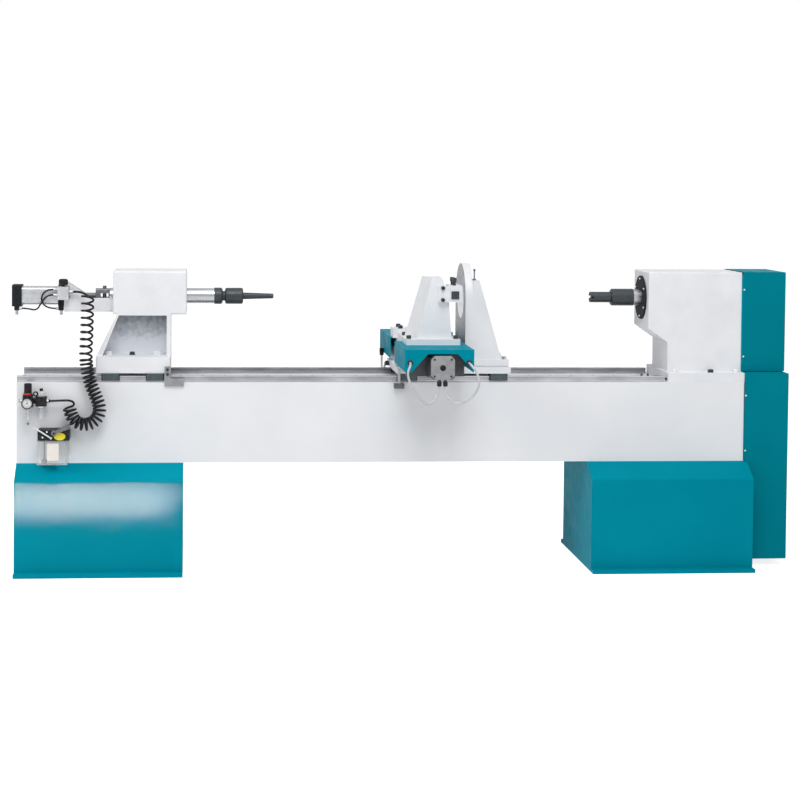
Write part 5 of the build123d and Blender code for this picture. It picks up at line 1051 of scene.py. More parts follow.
# %% [markdown]
# ## Screws of the bearing cap and the belt covers
# Six bright zinc screws hold the black cap of the spindle's bearing, and smaller ones hold
# both belt covers at the front and at the rear. They are the same socket screw with a lower
# head. Their seats come from the box of the solid that they hold, so they stay on its face.

# %% Screws of the bearing cap and the belt covers
CAP_CIRCLE = 0.070
SPINDLE_LEVEL = 0.99
COVER_SCREW_INSET = 0.004
bright_zinc = new_finish("bright_zinc", (0.62, 0.62, 0.60), 1.0, 0.3)
tint(bright_zinc, (0.54, 0.54, 0.52), (0.68, 0.68, 0.66), 300, 4)
gloss(bright_zinc, 0.22, 0.4, 500, 3)


def round_circle(radius, count, start=0):
    """Offsets of places that share out a circle, from a start in degrees."""
    angles = [math.radians(start + 360 / count * index) for index in range(count)]
    return [(radius * math.cos(angle), radius * math.sin(angle)) for angle in angles]


cap_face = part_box("bearing_cap")[0].x
cap_screw = socket_head(0.0078, 0.003, 0.0010, bright_zinc)
spots = [(cap_face, y, SPINDLE_LEVEL + z) for y, z in round_circle(CAP_CIRCLE, 6, 30)]
set_out(cap_screw, "bearing_cap_screws", "frame", spots, LEFT)

cover_screw = socket_head(0.0065, 0.002, 0.0006, bright_zinc)
for node, levels in (("upper_belt_cover", (1.027, 0.777)), ("lower_belt_cover", (0.637, 0.432))):
    low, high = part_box(node)
    for side, face, heading in (("front", low.y, FRONT), ("rear", high.y, REAR)):
        spots = [(low.x + COVER_SCREW_INSET, face, screw_z) for screw_z in levels]
        set_out(cover_screw, f"{node}_{side}_screws", "frame", spots, heading)

# %% [markdown]
# ## Screws of the tailstock
# In the pocket of the tailstock's foot stand six bolts, four of them painted over. Socket
# screws hold the rail clamp and the cylinder's bracket, and four small ones the hand valve.
# Dots in the paint would do from afar, but a head shows against the light, so all are modelled.

# %% Screws of the tailstock
FOOT_BOLT_LINE = 0.068
PAINTED_FOOT_BOLTS = (-1.080, -0.905)
DARK_FOOT_BOLT = -0.996
CLAMP_SCREW_X = -0.8655
BRACKET_SCREW_X = -1.076
VALVE_SCREW_INSET = 0.006
slab_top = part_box("tailstock_slab")[1].z
foot_bolt = hexagon_head(0.022, 0.010, cast_white)
lines = (-FOOT_BOLT_LINE, FOOT_BOLT_LINE)
spots = [(bolt_x, line, slab_top) for bolt_x in PAINTED_FOOT_BOLTS for line in lines]
set_out(foot_bolt, "tailstock_painted_bolts", "tailstock", spots)
dark_bolt = hexagon_head(0.018, 0.009, black_oxide)
spots = [(DARK_FOOT_BOLT, line, slab_top) for line in lines]
set_out(dark_bolt, "tailstock_dark_bolts", "tailstock", spots)

clamp_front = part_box("rail_clamp")[0].y
clamp_screw = socket_head(0.010, 0.005, 0.0006, black_oxide)
spots = [(CLAMP_SCREW_X, clamp_front, screw_z) for screw_z in (0.733, 0.716)]
set_out(clamp_screw, "rail_clamp_screws", "tailstock", spots, FRONT)
bracket_screw = socket_head(0.010, 0.004, 0.0008, white_enamel)
low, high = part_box("cylinder_bracket")
for side, face, heading in (("front", low.y, FRONT), ("rear", high.y, REAR)):
    spots = [(BRACKET_SCREW_X, face, screw_z) for screw_z in (0.985, 0.942)]
    set_out(bracket_screw, f"bracket_{side}_screws", "tailstock", spots, heading)

low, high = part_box("valve_body")
valve_screw = socket_head(0.0065, 0.002, 0.0006, bright_zinc)
spots = []
for screw_x in (low.x + VALVE_SCREW_INSET, high.x - VALVE_SCREW_INSET):
    for screw_z in (low.z + VALVE_SCREW_INSET, high.z - VALVE_SCREW_INSET):
        spots.append((screw_x, low.y, screw_z))
set_out(valve_screw, "valve_body_screws", "tailstock", spots, FRONT)

# %% [markdown]
# ## Screws of the carriage
# Eight large socket screws hold the cross slide's plate and the tool tower. Two more clamp the
# ear of the tool holder, three bolts hold the base of the steady rest, and four small screws
# the cap of the cross motor.

# %% Screws of the carriage
SLIDE_BOLTS = ((-0.223, 0.852), (-0.085, 0.852), (0.042, 0.866), (0.115, 0.866))
EAR_X, EAR_FRONT = 0.125, -0.253
STEADY_BASE_TOP = 0.768
BASE_BOLT_INSET = 0.014
MOTOR_X, MOTOR_Z = 0.104, 0.767
MOTOR_CAP = 0.004
MOTOR_SCREW_REACH = 0.030
slide_head = socket_head(0.018, 0.012, 0.0012, black_oxide)
spots = [(bolt_x, bolt_y, seat) for bolt_x in (0.006, 0.178) for bolt_y, seat in SLIDE_BOLTS]
slide_screws = set_out(slide_head, "slide_screws", "cross_slide", spots)
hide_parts("slide_bolts")
ear_head = socket_head(0.014, 0.010, 0.001, black_oxide)
spots = [(EAR_X, EAR_FRONT, screw_z) for screw_z in (0.995, 1.038)]
set_out(ear_head, "holder_ear_screws", "cross_slide", spots, FRONT)

base_bolt_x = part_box("steady_rest")[1].x - BASE_BOLT_INSET
base_bolt = hexagon_head(0.017, 0.009, bright_zinc)
spots = [(base_bolt_x, bolt_y, STEADY_BASE_TOP) for bolt_y in (-0.125, 0, 0.125)]
set_out(base_bolt, "steady_base_bolts", "carriage", spots)

motor_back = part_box("cross_motor")[0].y - MOTOR_CAP
motor_screw = socket_head(0.0075, 0.003, 0.0006, black_oxide)
spots = []
for across in (-MOTOR_SCREW_REACH, MOTOR_SCREW_REACH):
    for rise in (-MOTOR_SCREW_REACH, MOTOR_SCREW_REACH):
        spots.append((MOTOR_X + across, motor_back, MOTOR_Z + rise))
set_out(motor_screw, "cross_motor_screws", "carriage", spots, FRONT)

# %% [markdown]
# ## Tool clamp screws
# Two square-headed screws bite on the tool bar. A round shank is opened for editing, and a
# cube is added on top of it as the head. The cube is still selected then, so one bevel rounds
# the edges of the head and leaves the shank as it is.

# %% Tool clamp screws
SHANK_LENGTH = 0.012
SHANK_RADIUS = 0.006
HEAD_SIZE = 0.016
TOOL_X, HOLDER_TOP = 0.169, 1.046
set_aside()
clamp = add_cylinder(20, SHANK_RADIUS, SHANK_LENGTH)
begin(clamp)
head_middle = (0, 0, SHANK_LENGTH + HEAD_SIZE / 2)
bpy.ops.mesh.select_all(action="DESELECT")
bpy.ops.mesh.primitive_cube_add(size=HEAD_SIZE, location=head_middle)
bpy.ops.mesh.bevel(offset=0.0014, segments=2, affect="EDGES")
clamp = close(clamp, black_oxide)
spots = [(TOOL_X, screw_y, HOLDER_TOP) for screw_y in (-0.181, -0.231)]
set_out(clamp, "tool_clamp_screws", "cross_slide", spots)

# %% [markdown]
# ## Profile of a thread
# The carriage screw moves the carriage 25 mm a turn and has two starts, and the cross screw
# moves the slide 10 mm a turn. The profile of one lead is a line along the screw's skin, with
# a round-bottomed groove for the balls of each start. A bump in the material would not show at
# the outline, so the groove is modelled.

# %% Profile of a thread
GROOVE_DEPTH = 0.0016
GROOVE_SHAPE = ((0.0, 0.0), (0.40, 0.0), (0.50, 0.7), (0.70, 1.0), (0.90, 0.7))
CREST_DROP = 0.0002


def thread_profile(radius, lead, starts):
    """The points of one lead, with a groove for each start."""
    crest = radius - CREST_DROP
    points = []
    for start in range(starts):
        for share, depth in GROOVE_SHAPE:
            points.append((crest - depth * GROOVE_DEPTH, 0, (start + share) * lead / starts))
    points.append((crest, 0, lead))
    return points


print("a lead of two starts has", len(thread_profile(0.0125, 0.025, 2)), "points")

# %% [markdown]
# ## Drawing and winding a profile
# The profile is drawn by extruding one vertex from point to point. The Screw modifier winds it
# up, backwards for a left-hand thread, because a turn to the right drives the nut away from the
# motor's end here. Its own merging works only without an offset, so the seams between the turns
# are merged afterwards, as doubles.

# %% Drawing and winding a profile
TURN_STEPS = 24


def draw_line(points):
    """A line of edges, extruded from one vertex point by point and left open for editing."""
    set_aside()
    bpy.ops.mesh.primitive_plane_add(size=0.01)
    line = bpy.context.object
    bpy.ops.object.mode_set(mode="EDIT")
    bpy.ops.mesh.select_mode(type="VERT")
    bpy.ops.mesh.select_all(action="SELECT")
    bpy.ops.mesh.merge(type="CENTER")
    bpy.ops.transform.translate(value=points[0])
    for before, after in zip(points, points[1:]):
        step = Vector(after) - Vector(before)
        bpy.ops.mesh.extrude_region_move(TRANSFORM_OT_translate={"value": step})
    bpy.ops.mesh.select_all(action="SELECT")
    return line


def wind_up(line, lead, turns):
    """Wind a profile up about Z and open the thread, with its seams merged."""
    bpy.ops.object.mode_set(mode="OBJECT")
    wind = line.modifiers.new("wind", "SCREW")
    wind.screw_offset = -lead
    wind.iterations = turns
    wind.steps = TURN_STEPS
    wind.render_steps = TURN_STEPS
    bpy.ops.object.modifier_apply(modifier=wind.name)
    begin(line)
    bpy.ops.mesh.select_all(action="SELECT")
    bpy.ops.mesh.remove_doubles(threshold=0.000002)


print("a turn of a thread has", TURN_STEPS, "steps")

# %% [markdown]
# ## The two ball screws
# A wound thread ends in a ragged edge. It is closed by a face and runs into a plain journal at
# each end, as on a real screw, where the bearings sit. The screw is made upright and then set
# out along its own axis. Each one stands for the plain rod of the solid model.

# %% The two ball screws
JOURNAL_DROP = 0.00005


def ball_screw(length, radius, lead, starts):
    """A screw along Z from the origin: a threaded run between two plain journals."""
    turns = math.floor(length / lead) - 3
    margin = (length - (turns + 1) * lead) / 2
    journal = margin + lead
    screw = draw_line(thread_profile(radius, lead, starts))
    wind_up(screw, lead, turns)
    bpy.ops.transform.translate(value=(0, 0, margin + turns * lead))
    bpy.ops.mesh.fill_holes(sides=0)
    bpy.ops.mesh.select_all(action="SELECT")
    bpy.ops.mesh.normals_make_consistent(inside=False)
    for foot in (0, length - journal):
        add_cylinder(48, radius - JOURNAL_DROP, journal, foot)
        bpy.ops.mesh.bevel(offset=0.0008, segments=2, affect="EDGES")
    return close(screw, ground_steel)


for node, name, heading, radius, lead, starts in (
    ("carriage_screw", "carriage_ball_screw", RIGHT, 0.0125, 0.025, 2),
    ("cross_screw", "cross_ball_screw", REAR, 0.010, 0.010, 1),
):
    low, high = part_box(node)
    length = (high - low).dot(Vector(heading))
    foot = (low + high) / 2 - Vector(heading) * length / 2
    screw = ball_screw(length, radius, lead, starts)
    thread = set_out(screw, name, f"{node}_body", [foot], heading)
    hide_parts(node)

# %% [markdown]
# ## End seals of the guide blocks
# Each guide block has a black seal at both ends, a plate with a slot for the rail. The plate
# is a cube drawn to its size with a rounded top, and the slot is cut by a boolean, with a
# little room about the rail. Three bars side by side would do too, but would leave seams.

# %% End seals of the guide blocks
SEAL_SIZE = (0.003, 0.038, 0.026)
SEAL_SLOT = (0.010, 0.0206, 0.034)
SEAL_FOOT = 0.6915
BLOCK_LENGTH = 0.060


def add_block(size, middle=(0, 0, 0)):
    """A new piece: a cube drawn to a size about a middle, open for editing."""
    set_aside()
    bpy.ops.mesh.primitive_cube_add(size=1, location=middle, scale=size)
    bpy.ops.object.transform_apply(location=True, rotation=True, scale=True)
    block = bpy.context.object
    begin(block)
    return block


seal = add_block(SEAL_SIZE, (0, 0, SEAL_SIZE[2] / 2))
pick_top(seal)
bpy.ops.mesh.bevel(offset=0.001, segments=2, affect="EDGES")
carve(seal, add_block(SEAL_SLOT))
seal = close(seal, black_nylon)
for node, body in (("tailstock_blocks", "tailstock"), ("carriage_blocks", "carriage")):
    low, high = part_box(node)
    outer = SEAL_SIZE[0] / 2
    inner = BLOCK_LENGTH + outer
    seats = (low.x - outer, low.x + inner, high.x - inner, high.x + outer)
    spots = [(seat, line, SEAL_FOOT) for seat in seats for line in (-RAIL_LINE, RAIL_LINE)]
    set_out(seal, f"{node}_seals", body, spots)

# %% [markdown]
# ## Rail plugs
# The screws of the rails are hidden under plastic plugs, flush but for a hair, one every
# 80 mm. A plug is a turned piece: a profile of a few points, drawn in millimetres, is spun
# once about Z and its seam is merged. A cylinder would lack the small bevel that catches the
# light. Most round trims below are made in the same way.

# %% Rail plugs
MM = 0.001
PLUG_STEP = 0.080
PLUG_START = 0.030


def turn_round(profile, material, steps=32, angle=35):
    """A turned piece from a profile of (radius, height) in millimetres."""
    piece = draw_line([(radius * MM, 0, height * MM) for radius, height in profile])
    bpy.ops.mesh.spin(steps=steps, angle=2 * math.pi, center=(0, 0, 0), axis=(0, 0, 1))
    bpy.ops.mesh.select_all(action="SELECT")
    bpy.ops.mesh.remove_doubles(threshold=0.000001)
    bpy.ops.mesh.normals_make_consistent(inside=False)
    return close(piece, material, angle)


plug_profile = [(0, 0), (4.5, 0), (4.5, 0.08), (4.2, 0.12), (0, 0.12)]
rail_plug = turn_round(plug_profile, black_nylon, 16)
count = math.floor((rail_high.x - rail_low.x - PLUG_STEP / 2) / PLUG_STEP) + 1
spots = []
for index in range(count):
    plug_x = rail_low.x + PLUG_START + index * PLUG_STEP
    spots += [(plug_x, -RAIL_LINE, rail_high.z), (plug_x, RAIL_LINE, rail_high.z)]
set_out(rail_plug, "rail_plugs", "frame", spots)

# %% [markdown]
# ## Motor cap
# The cross motor ends in a die-cast cap, a square plate with its four corners cut off and its
# rim rounded. The upright edges of a flat cube are picked by their direction and bevelled in
# one segment, which cuts the corners off, and a finer bevel rounds the rim of the top.

# %% Motor cap
CAP_SIZE = 0.085
CAP_CORNER = 0.015


def pick_edges(piece, direction):
    """Select the edges of the open piece that run along a direction."""
    bpy.ops.mesh.select_mode(type="EDGE")
    bpy.ops.mesh.select_all(action="DESELECT")
    bpy.ops.object.mode_set(mode="OBJECT")
    for edge in piece.data.edges:
        first, second = [piece.data.vertices[index].co for index in edge.vertices]
        edge.select = abs((second - first).normalized().dot(Vector(direction))) > 0.9
    bpy.ops.object.mode_set(mode="EDIT")


cap = add_block((CAP_SIZE, CAP_SIZE, MOTOR_CAP), (0, 0, MOTOR_CAP / 2))
pick_edges(cap, UP)
bpy.ops.mesh.bevel(offset=CAP_CORNER, segments=1, affect="EDGES")
pick_top(cap)
bpy.ops.mesh.bevel(offset=0.0012, segments=3, affect="EDGES")
cap = close(cap, die_cast)
spots = [(MOTOR_X, motor_back + MOTOR_CAP, MOTOR_Z)]
set_out(cap, "cross_motor_cap", "carriage", spots, FRONT)

# %% [markdown]
# ## Motor hub, grommets and cable boots
# A dark plug sits in the middle of the motor's cap. Each motor cable leaves the front cover
# through a rubber grommet and enters the motor through a black boot that narrows towards the
# cable, and the rear cable has a boot at both ends. All are turned. Those that a cable goes
# through have a profile that closes on itself, so that they come out as rings. A boot's narrow
# end lies a fixed reach before the end of its cable.

# %% Motor hub, grommets and cable boots
HUB_SINK = 0.001
BOOT_REACH = 0.0115
hub_profile = [(0, 0), (10.5, 0), (10.5, 2.2), (9.5, 3), (4.5, 3), (4, 1.8), (0, 1.8)]
spots = [(MOTOR_X, motor_back + HUB_SINK, MOTOR_Z)]
hub = turn_round(hub_profile, black_nylon)
set_out(hub, "cross_motor_hub", "carriage", spots, FRONT)

grommet_profile = [
    (4.4, 0), (9.5, 0), (10.5, 1), (9.8, 3), (7.5, 4.5), (5.2, 4.5), (4.4, 3.5), (4.4, 0)
]
grommet = turn_round(grommet_profile, belt_rubber)
cover_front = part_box("front_cover")[0].y
spots = [(route[0][0], cover_front, route[0][2]) for route in (left_cable_route, right_cable_route)]
set_out(grommet, "cover_grommets", "cross_slide", spots, FRONT)

boot_profile = [
    (4.8, 0), (6.2, 0), (8.5, 3), (8.5, 7.5), (7.8, 8.5),
    (8.5, 9.5), (8.5, 16), (6.2, 16), (4.8, 12.5), (4.8, 0),
]
boot = turn_round(boot_profile, black_nylon)
for name, body, heading, ends in (
    ("cable_boots", "carriage", UP, (left_cable_route[-1], right_cable_route[-1])),
    ("saddle_gland_boot", "carriage", FRONT, (rear_cable_route[-1],)),
    ("cover_gland_boot", "cross_slide", UP, (rear_cable_route[0],)),
):
    spots = [Vector(end) - Vector(heading) * BOOT_REACH for end in ends]
    set_out(boot, name, body, spots, heading)

# %% [markdown]
# ## Stop stud on the steady rest
# A thin stud with a ball handle stands on the shoulder of the steady rest, on a nut. Stud and
# ball are one turned profile, with the ball's points worked out along an arc, because a sphere
# set on a rod would leave faces inside. The nut is added as a six-sided prism in the same mesh.

# %% Stop stud on the steady rest
STUD_RADIUS = 2.5
BALL_RADIUS = 5
BALL_LEVEL = 37.5
NUT_RADIUS, NUT_HEIGHT = 0.0075, 0.006
STUD_SEAT = (0.2610, -0.111, 1.058)
profile = [(0, 1), (STUD_RADIUS, 1), (STUD_RADIUS, BALL_LEVEL - BALL_RADIUS * 0.85)]
for step in range(9):
    lean = math.radians(-62 + step * 19)
    profile.append((BALL_RADIUS * math.cos(lean), BALL_LEVEL + BALL_RADIUS * math.sin(lean)))
profile.append((0, BALL_LEVEL + BALL_RADIUS))
stud = turn_round(profile, forged_steel, 24, 50)
begin(stud)
bpy.ops.mesh.select_all(action="DESELECT")
add_cylinder(6, NUT_RADIUS, NUT_HEIGHT)
bpy.ops.mesh.bevel(offset=0.0006, segments=1, affect="EDGES")
stud = close(stud, forged_steel)
set_out(stud, "steady_stop_stud", "carriage", [STUD_SEAT])

# %% [markdown]
# ## Angle and distance on the gauge's dial
# A white enamelled dial lies in the gauge's case under the needle. Its scale is printed, so it
# is drawn in the material. A picture would do too, but a drawing by nodes stays sharp from
# near. A Mapping node puts the pattern's zero on the dial's middle, and from there each spot
# has an angle from the top and a distance.

# %% Angle and distance on the gauge's dial
REGULATOR_X = -1.3635
DIAL_MIDDLE = Vector((REGULATOR_X, -0.2335, 0.618))
DIAL_WHITE = (0.85, 0.85, 0.83)
DIAL_INK = (0.01, 0.01, 0.012)
dial_print = new_finish("dial_print", DIAL_WHITE, 0.0, 0.45)
dial_tree = dial_print.node_tree
dial_place = add_node(dial_tree, "TexCoord")
dial_centre = add_node(dial_tree, "Mapping", {"Location": -DIAL_MIDDLE})
dial_split = add_node(dial_tree, "SeparateXYZ")
dial_tree.links.new(dial_place.outputs["Object"], dial_centre.inputs["Vector"])
dial_tree.links.new(dial_centre.outputs["Vector"], dial_split.inputs[0])
aside, above = dial_split.outputs["X"], dial_split.outputs["Z"]
bearing = arithmetic(dial_tree, "ARCTAN2", aside, above)
squares = [arithmetic(dial_tree, "POWER", way, 2.0) for way in (aside, above)]
away = arithmetic(dial_tree, "SQRT", arithmetic(dial_tree, "ADD", *squares))
print("dial print with", len(dial_tree.nodes), "nodes so far")

# %% [markdown]
# ## Ticks and plate of the dial
# A tick is where the angle is near a whole step of the scale, the distance is between two
# radii and the angle is within the needle's sweep. Each test gives one or zero, and their
# product is the mark. Big and small ticks are drawn by the same function. The dial's plate is
# turned, like the plugs.

# %% Ticks and plate of the dial
SCALE_SWEEP = math.radians(130)
SWEEP_MARGIN = 0.02
BIG_STEP = SCALE_SWEEP / 5
off_top = arithmetic(dial_tree, "ABSOLUTE", bearing)
in_sweep = arithmetic(dial_tree, "LESS_THAN", off_top, SCALE_SWEEP + SWEEP_MARGIN)


def ticks(step, half_width, inner, outer):
    """One on tick marks a step apart, between two radii, and zero elsewhere."""
    nearest = arithmetic(dial_tree, "WRAP", bearing, step / 2, -step / 2)
    across = arithmetic(dial_tree, "MULTIPLY", arithmetic(dial_tree, "ABSOLUTE", nearest), away)
    marks = arithmetic(dial_tree, "LESS_THAN", across, half_width)
    far = arithmetic(dial_tree, "GREATER_THAN", away, inner)
    near = arithmetic(dial_tree, "LESS_THAN", away, outer)
    for test in (far, near, in_sweep):
        marks = arithmetic(dial_tree, "MULTIPLY", marks, test)
    return marks


big_ticks = ticks(BIG_STEP, 0.00028, 0.0118, 0.0152)
small_ticks = ticks(BIG_STEP / 5, 0.00014, 0.0135, 0.0152)
scale_marks = arithmetic(dial_tree, "MAXIMUM", big_ticks, small_ticks)
scale_print = shades(dial_print, scale_marks, DIAL_WHITE, DIAL_INK, 0.0, 1.0)
dial_tree.links.new(scale_print, shader_of(dial_print).inputs["Base Color"])
dial_profile = [(0, 0), (16.8, 0), (16.8, 0.1), (16.6, 0.2), (0, 0.2)]
dial = turn_round(dial_profile, dial_print, 48)
set_out(dial, "gauge_dial", "frame", [DIAL_MIDDLE], FRONT)

# %% [markdown]
# ## Numbers and pane of the gauge
# The numbers stand a hair above the dial. They are text, made a mesh before their place is
# applied, and joined into one piece. By nodes, every stroke would need a test. A thin turned
# pane with a slight dome closes the case; like the bowls it is clear by its alpha.

# %% Numbers and pane of the gauge
NUMBER_CIRCLE = 0.0092
NUMBER_LIFT = 0.00023
NUMBER_SIZE = 0.0042
PANE_SEAT = -0.2368
numbers = []
for index in range(6):
    lean = -SCALE_SWEEP + index * 2 * SCALE_SWEEP / 5
    offset = (NUMBER_CIRCLE * math.sin(lean), -NUMBER_LIFT, NUMBER_CIRCLE * math.cos(lean))
    set_aside()
    spot = DIAL_MIDDLE + Vector(offset)
    bpy.ops.object.text_add(location=spot, rotation=(math.pi / 2, 0, 0))
    text = bpy.context.object.data
    text.body = str(index * 2)
    text.size = NUMBER_SIZE
    text.align_x = "CENTER"
    text.align_y = "CENTER"
    text.extrude = 0.00002
    bpy.ops.object.convert(target="MESH")
    bpy.ops.object.transform_apply(location=True, rotation=True, scale=True)
    numbers.append(bpy.context.object)
set_aside()
for number in numbers:
    number.select_set(True)
bpy.context.view_layer.objects.active = numbers[0]
bpy.ops.object.join()
gauge_numbers = bpy.context.object
gauge_numbers.data.materials.clear()
gauge_numbers.data.materials.append(black_nylon)
hang(gauge_numbers, "gauge_numbers", "frame")

pane_glass = new_finish("pane_glass", (0.9, 0.92, 0.93), 0.0, 0.05, alpha=0.10)
gloss(pane_glass, 0.03, 0.08, 120, 3)
pane = turn_round([(0, 0), (17.2, 0), (17.2, 0.6), (16.5, 1), (0, 1.4)], pane_glass, 48)
spots = [(DIAL_MIDDLE.x, PANE_SEAT, DIAL_MIDDLE.z)]
set_out(pane, "gauge_pane", "frame", spots, FRONT)

# %% [markdown]
# ## Trims of the air unit
# A red locking ring sits under the regulator's knob, and a round link ring between the
# regulator and the lubricator. A drain is under the regulator's bowl, and the air comes in and
# goes out through bright push-in fittings. All are turned and slip over the solids.

# %% Trims of the air unit
UNIT_Y = -0.197
UNIT_LEVEL = 0.623
red_plastic = new_finish("red_plastic", (0.50, 0.015, 0.012), 0.0, 0.4)
tint(red_plastic, (0.42, 0.01, 0.01), (0.56, 0.02, 0.015), 90, 4)
ring_profile = [
    (14.3, 0), (15.8, 0), (16.4, 1), (16.4, 6.2), (15.8, 7.2), (14.3, 7.2), (14.3, 0)
]
ring = turn_round(ring_profile, red_plastic, 48)
spots = [(REGULATOR_X, UNIT_Y, 0.6445)]
set_out(ring, "regulator_red_ring", "frame", spots)

link_profile = [
    (5, 1), (6, 0), (8.5, 0), (9.5, 1), (9.5, 7), (8.5, 8), (6, 8), (5, 7), (5, 1)
]
link_ring = turn_round(link_profile, black_nylon)
spots = [(-1.336, -0.196, 0.6485)]
set_out(link_ring, "air_link_ring", "frame", spots, FRONT)

drain_profile = [(0, 0), (2.8, 0), (3.2, 0.6), (3.2, 5), (4.6, 5.8), (4.6, 8.8), (0, 10.5)]
drain = turn_round(drain_profile, forged_steel, 20)
spots = [(REGULATOR_X, UNIT_Y, 0.5355)]
set_out(drain, "regulator_drain", "frame", spots)

fitting_profile = [
    (6.5, 0), (7.8, 0), (7.8, 4), (7, 4.5), (7.4, 5), (7.4, 9), (6.5, 9.8), (6.5, 0)
]
fitting = turn_round(fitting_profile, ground_steel)
spots = [(-1.3838, UNIT_Y, UNIT_LEVEL)]
set_out(fitting, "air_inlet_fitting", "frame", spots, LEFT)
spots = [(-1.2985, UNIT_Y, UNIT_LEVEL)]
set_out(fitting, "air_outlet_fitting", "frame", spots, RIGHT)

# %% [markdown]
# ## Plunger pipe and plugs of the oil pump
# The hand pump has a bright plunger pipe that lies slanting in front of its head, thicker at
# both ends, and two small plugs. Turning a profile about a slanting axis is awkward, so the
# pipe is turned upright and then set out along the line between its two ends.

# %% Plunger pipe and plugs of the oil pump
PUMP_FRONT = -0.233
PIPE_AXIS_Y = PUMP_FRONT - 0.0046
pipe_low = Vector((-1.2755, PIPE_AXIS_Y, 0.4925))
pipe_high = Vector((-1.3396, PIPE_AXIS_Y, 0.5333))
pipe_run = (pipe_high - pipe_low).length / MM
pipe_profile = [(0, 0), (4.5, 0), (4.5, 5), (2.8, 6), (2.8, pipe_run - 8)]
pipe_profile += [(4.2, pipe_run - 7), (4.2, pipe_run - 1), (3.2, pipe_run), (0, pipe_run)]
pipe = turn_round(pipe_profile, bright_zinc, 20)
pipe_heading = pipe_high - pipe_low
set_out(pipe, "pump_plunger_pipe", "frame", [pipe_low], pipe_heading)
pump_plug = turn_round([(0, 0), (3.2, 0), (3.2, 3), (2.4, 3.6), (0, 3.6)], bright_zinc, 20)
spots = [(-1.2928, PUMP_FRONT, 0.5160), (-1.3083, PUMP_FRONT, 0.4964)]
set_out(pump_plug, "pump_plugs", "frame", spots, FRONT)

# %% [markdown]
# ## Yellow oval and cream panel
# Under the pump's lever is a plain yellow oval plate: a thin cylinder stretched sideways, with
# its face inset and raised a hair for the rim. A bare cream panel lies on the tank's front. It
# is a flat cube whose edges through the plate are picked by their direction and rounded.

# %% Yellow oval and cream panel
yellow_plastic = new_finish("yellow_plastic", (0.75, 0.66, 0.02), 0.0, 0.42)
tint(yellow_plastic, (0.68, 0.58, 0.015), (0.80, 0.71, 0.025), 70, 4)
set_aside()
oval = add_cylinder(40, 0.0135, 0.0002)
begin(oval)
bpy.ops.mesh.select_all(action="SELECT")
bpy.ops.transform.resize(value=(1.52, 1, 1), center_override=(0, 0, 0))
pick_top(oval)
bpy.ops.mesh.inset(thickness=0.0012)
bpy.ops.transform.translate(value=(0, 0, 0.00005))
oval = close(oval, yellow_plastic)
spots = [(-1.2475, PUMP_FRONT, 0.4995)]
set_out(oval, "pump_yellow_oval", "frame", spots, FRONT)

PANEL_SIZE = (0.042, 0.0004, 0.062)
cream_print = new_finish("cream_print", (0.84, 0.80, 0.74), 0.0, 0.5)
tint(cream_print, (0.80, 0.75, 0.68), (0.86, 0.83, 0.78), 35, 5)
tank_low, tank_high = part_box("oil_tank")
panel = add_block(PANEL_SIZE)
pick_edges(panel, REAR)
bpy.ops.mesh.bevel(offset=0.004, segments=4, affect="EDGES")
panel = close(panel, cream_print)
spots = [(-1.272, tank_low.y - PANEL_SIZE[1] / 2, 0.443)]
set_out(panel, "tank_bare_panel", "frame", spots)

# %% [markdown]
# ## Suction tube
# Inside the clear tank a tube hangs from the pump, with a round strainer at its foot. Tube and
# strainer are one turned profile, with no seam between them to show through the wall. Its
# length comes from the tank's box.

# %% Suction tube
TUBE_TOP = 0.486
TUBE_GAP = 0.0005
STRAINER_LIFT = 0.0035
tube_foot = tank_low.z + STRAINER_LIFT
tube_run = (TUBE_TOP - TUBE_GAP - tube_foot) / MM
tube_profile = [(0, 0), (9, 0), (10, 1), (10, 13), (9, 14), (3.5, 15), (3.2, 16)]
tube_profile += [(3.2, tube_run), (0, tube_run)]
strainer = turn_round(tube_profile, forged_steel, 20)
spots = [(-1.3045, -0.196, tube_foot)]
set_out(strainer, "tank_suction_tube", "frame", spots)

# %% [markdown]
# ## Rims of the oil tank
# A clear box shows mostly by its edges, where the wall is thicker and the light is bent. The
# rims are bars along the tank's corners, its foot and its mouth, drawn in one mesh: each is a
# cube scaled to its size, with its edges rounded. They are darker and less clear than the walls,
# painted shade for the bent light. A short line that is deleted at once opens the empty mesh.

# %% Rims of the oil tank
RIM = 0.0034
RIM_INSET = 0.0012
FOOT_LIFT = 0.0004
MOUTH_DROP = 0.002
# Painted shade: the rims are darker than the walls, for the darkening where the light is bent at
# the edges.
clear_rim = new_finish("clear_rim", (0.42, 0.45, 0.47), 0.0, 0.12, alpha=0.40)
tint(clear_rim, (0.30, 0.33, 0.35), (0.58, 0.61, 0.63), 60, 4)
gloss(clear_rim, 0.08, 0.18, 90, 3)


def add_bar(low, high):
    """Add a rounded bar between two corners to the open piece."""
    middle = [(a + b) / 2 for a, b in zip(low, high)]
    size = [b - a for a, b in zip(low, high)]
    bpy.ops.mesh.primitive_cube_add(size=1, location=middle, scale=size)
    bpy.ops.mesh.bevel(offset=RIM * 0.3, segments=2, affect="EDGES")


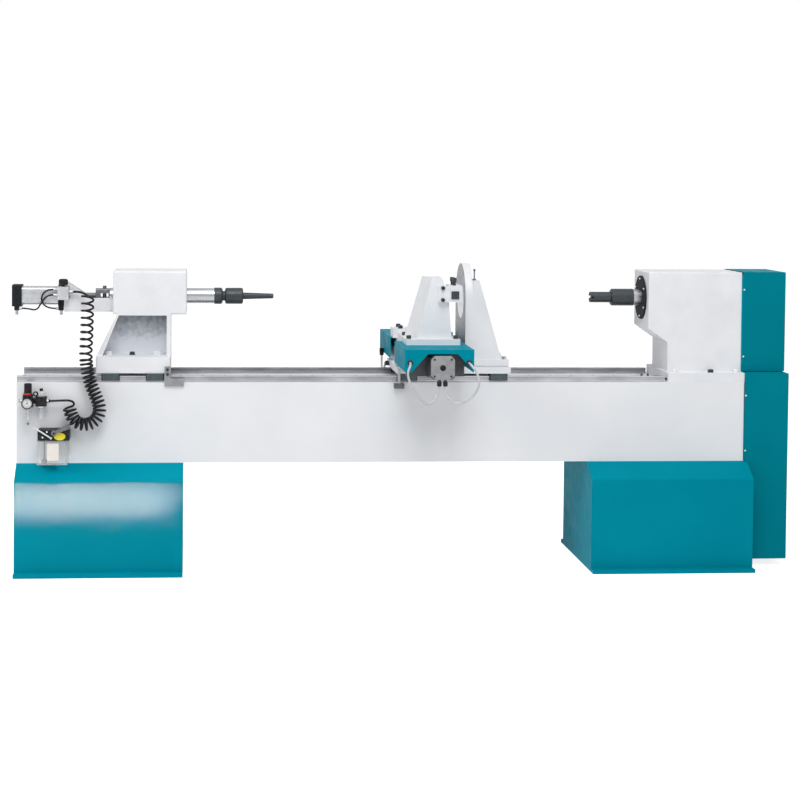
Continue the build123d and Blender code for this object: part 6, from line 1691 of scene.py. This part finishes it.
rim_left, rim_right = tank_low.x + RIM_INSET, tank_high.x - RIM_INSET
rim_front, rim_back = tank_low.y + RIM_INSET, tank_high.y - RIM_INSET
foot, mouth = tank_low.z + FOOT_LIFT, TUBE_TOP - MOUTH_DROP
rims = draw_line([(0, 0, 0), (0, 0, RIM)])
bpy.ops.mesh.delete(type="VERT")
for bar_x in (rim_left, rim_right - RIM):
    for bar_z in (foot, mouth - RIM):
        add_bar((bar_x, rim_front + RIM, bar_z), (bar_x + RIM, rim_back, bar_z + RIM))
for bar_x in (rim_left + RIM, rim_right - 2 * RIM):
    add_bar((bar_x, rim_front, foot), (bar_x + RIM, rim_front + RIM, mouth))
for bar_z in (foot, mouth - RIM):
    bar_start = (rim_left + 2 * RIM, rim_front, bar_z)
    add_bar(bar_start, (rim_right - 2 * RIM, rim_front + RIM, bar_z + RIM))
rims = close(rims, clear_rim)
set_out(rims, "tank_rims", "frame", [(0, 0, 0)])

# %% [markdown]
# ## Ribs and collar of the bowls
# The two bowls have six thin ribs each, which show as fine lines through the clear wall, and a
# bright collar holds the lubricator's. Stripes in the material would lie flat on the wall, so
# the rib is a turned pin with pointed ends, set out on a circle. The collar is a turned ring.

# %% Ribs and collar of the bowls
LUBRICATOR_X = -1.316
RIB_RADIUS = 0.7
RIB_LENGTH = 45
RIB_CIRCLE = 0.0129
RIBS = 6
rib_profile = [(0, 0), (RIB_RADIUS, RIB_RADIUS)]
rib_profile += [(RIB_RADIUS, RIB_LENGTH - RIB_RADIUS), (0, RIB_LENGTH)]
rib = turn_round(rib_profile, clear_rim, 12)
spots = []
for bowl_x, bowl_foot in ((REGULATOR_X, 0.5562), (LUBRICATOR_X, 0.5592)):
    for across, depth in round_circle(RIB_CIRCLE, RIBS):
        spots.append((bowl_x + across, UNIT_Y + depth, bowl_foot))
set_out(rib, "bowl_ribs", "frame", spots)

collar_profile = [(12.5, 0), (14.2, 0), (15, 1), (15, 4.6), (12.5, 4.6), (12.5, 0)]
collar = turn_round(collar_profile, bright_zinc)
spots = [(LUBRICATOR_X, UNIT_Y, 0.6002)]
set_out(collar, "lubricator_collar", "frame", spots)

# %% [markdown]
# ## Putting the patterns away
# The patterns have served and are put away.

# %% Putting the patterns away
patterns = [thing for thing in scene.objects if thing.name.startswith("pattern")]
print("patterns put away", len(patterns))
for pattern in patterns:
    bpy.data.objects.remove(pattern)
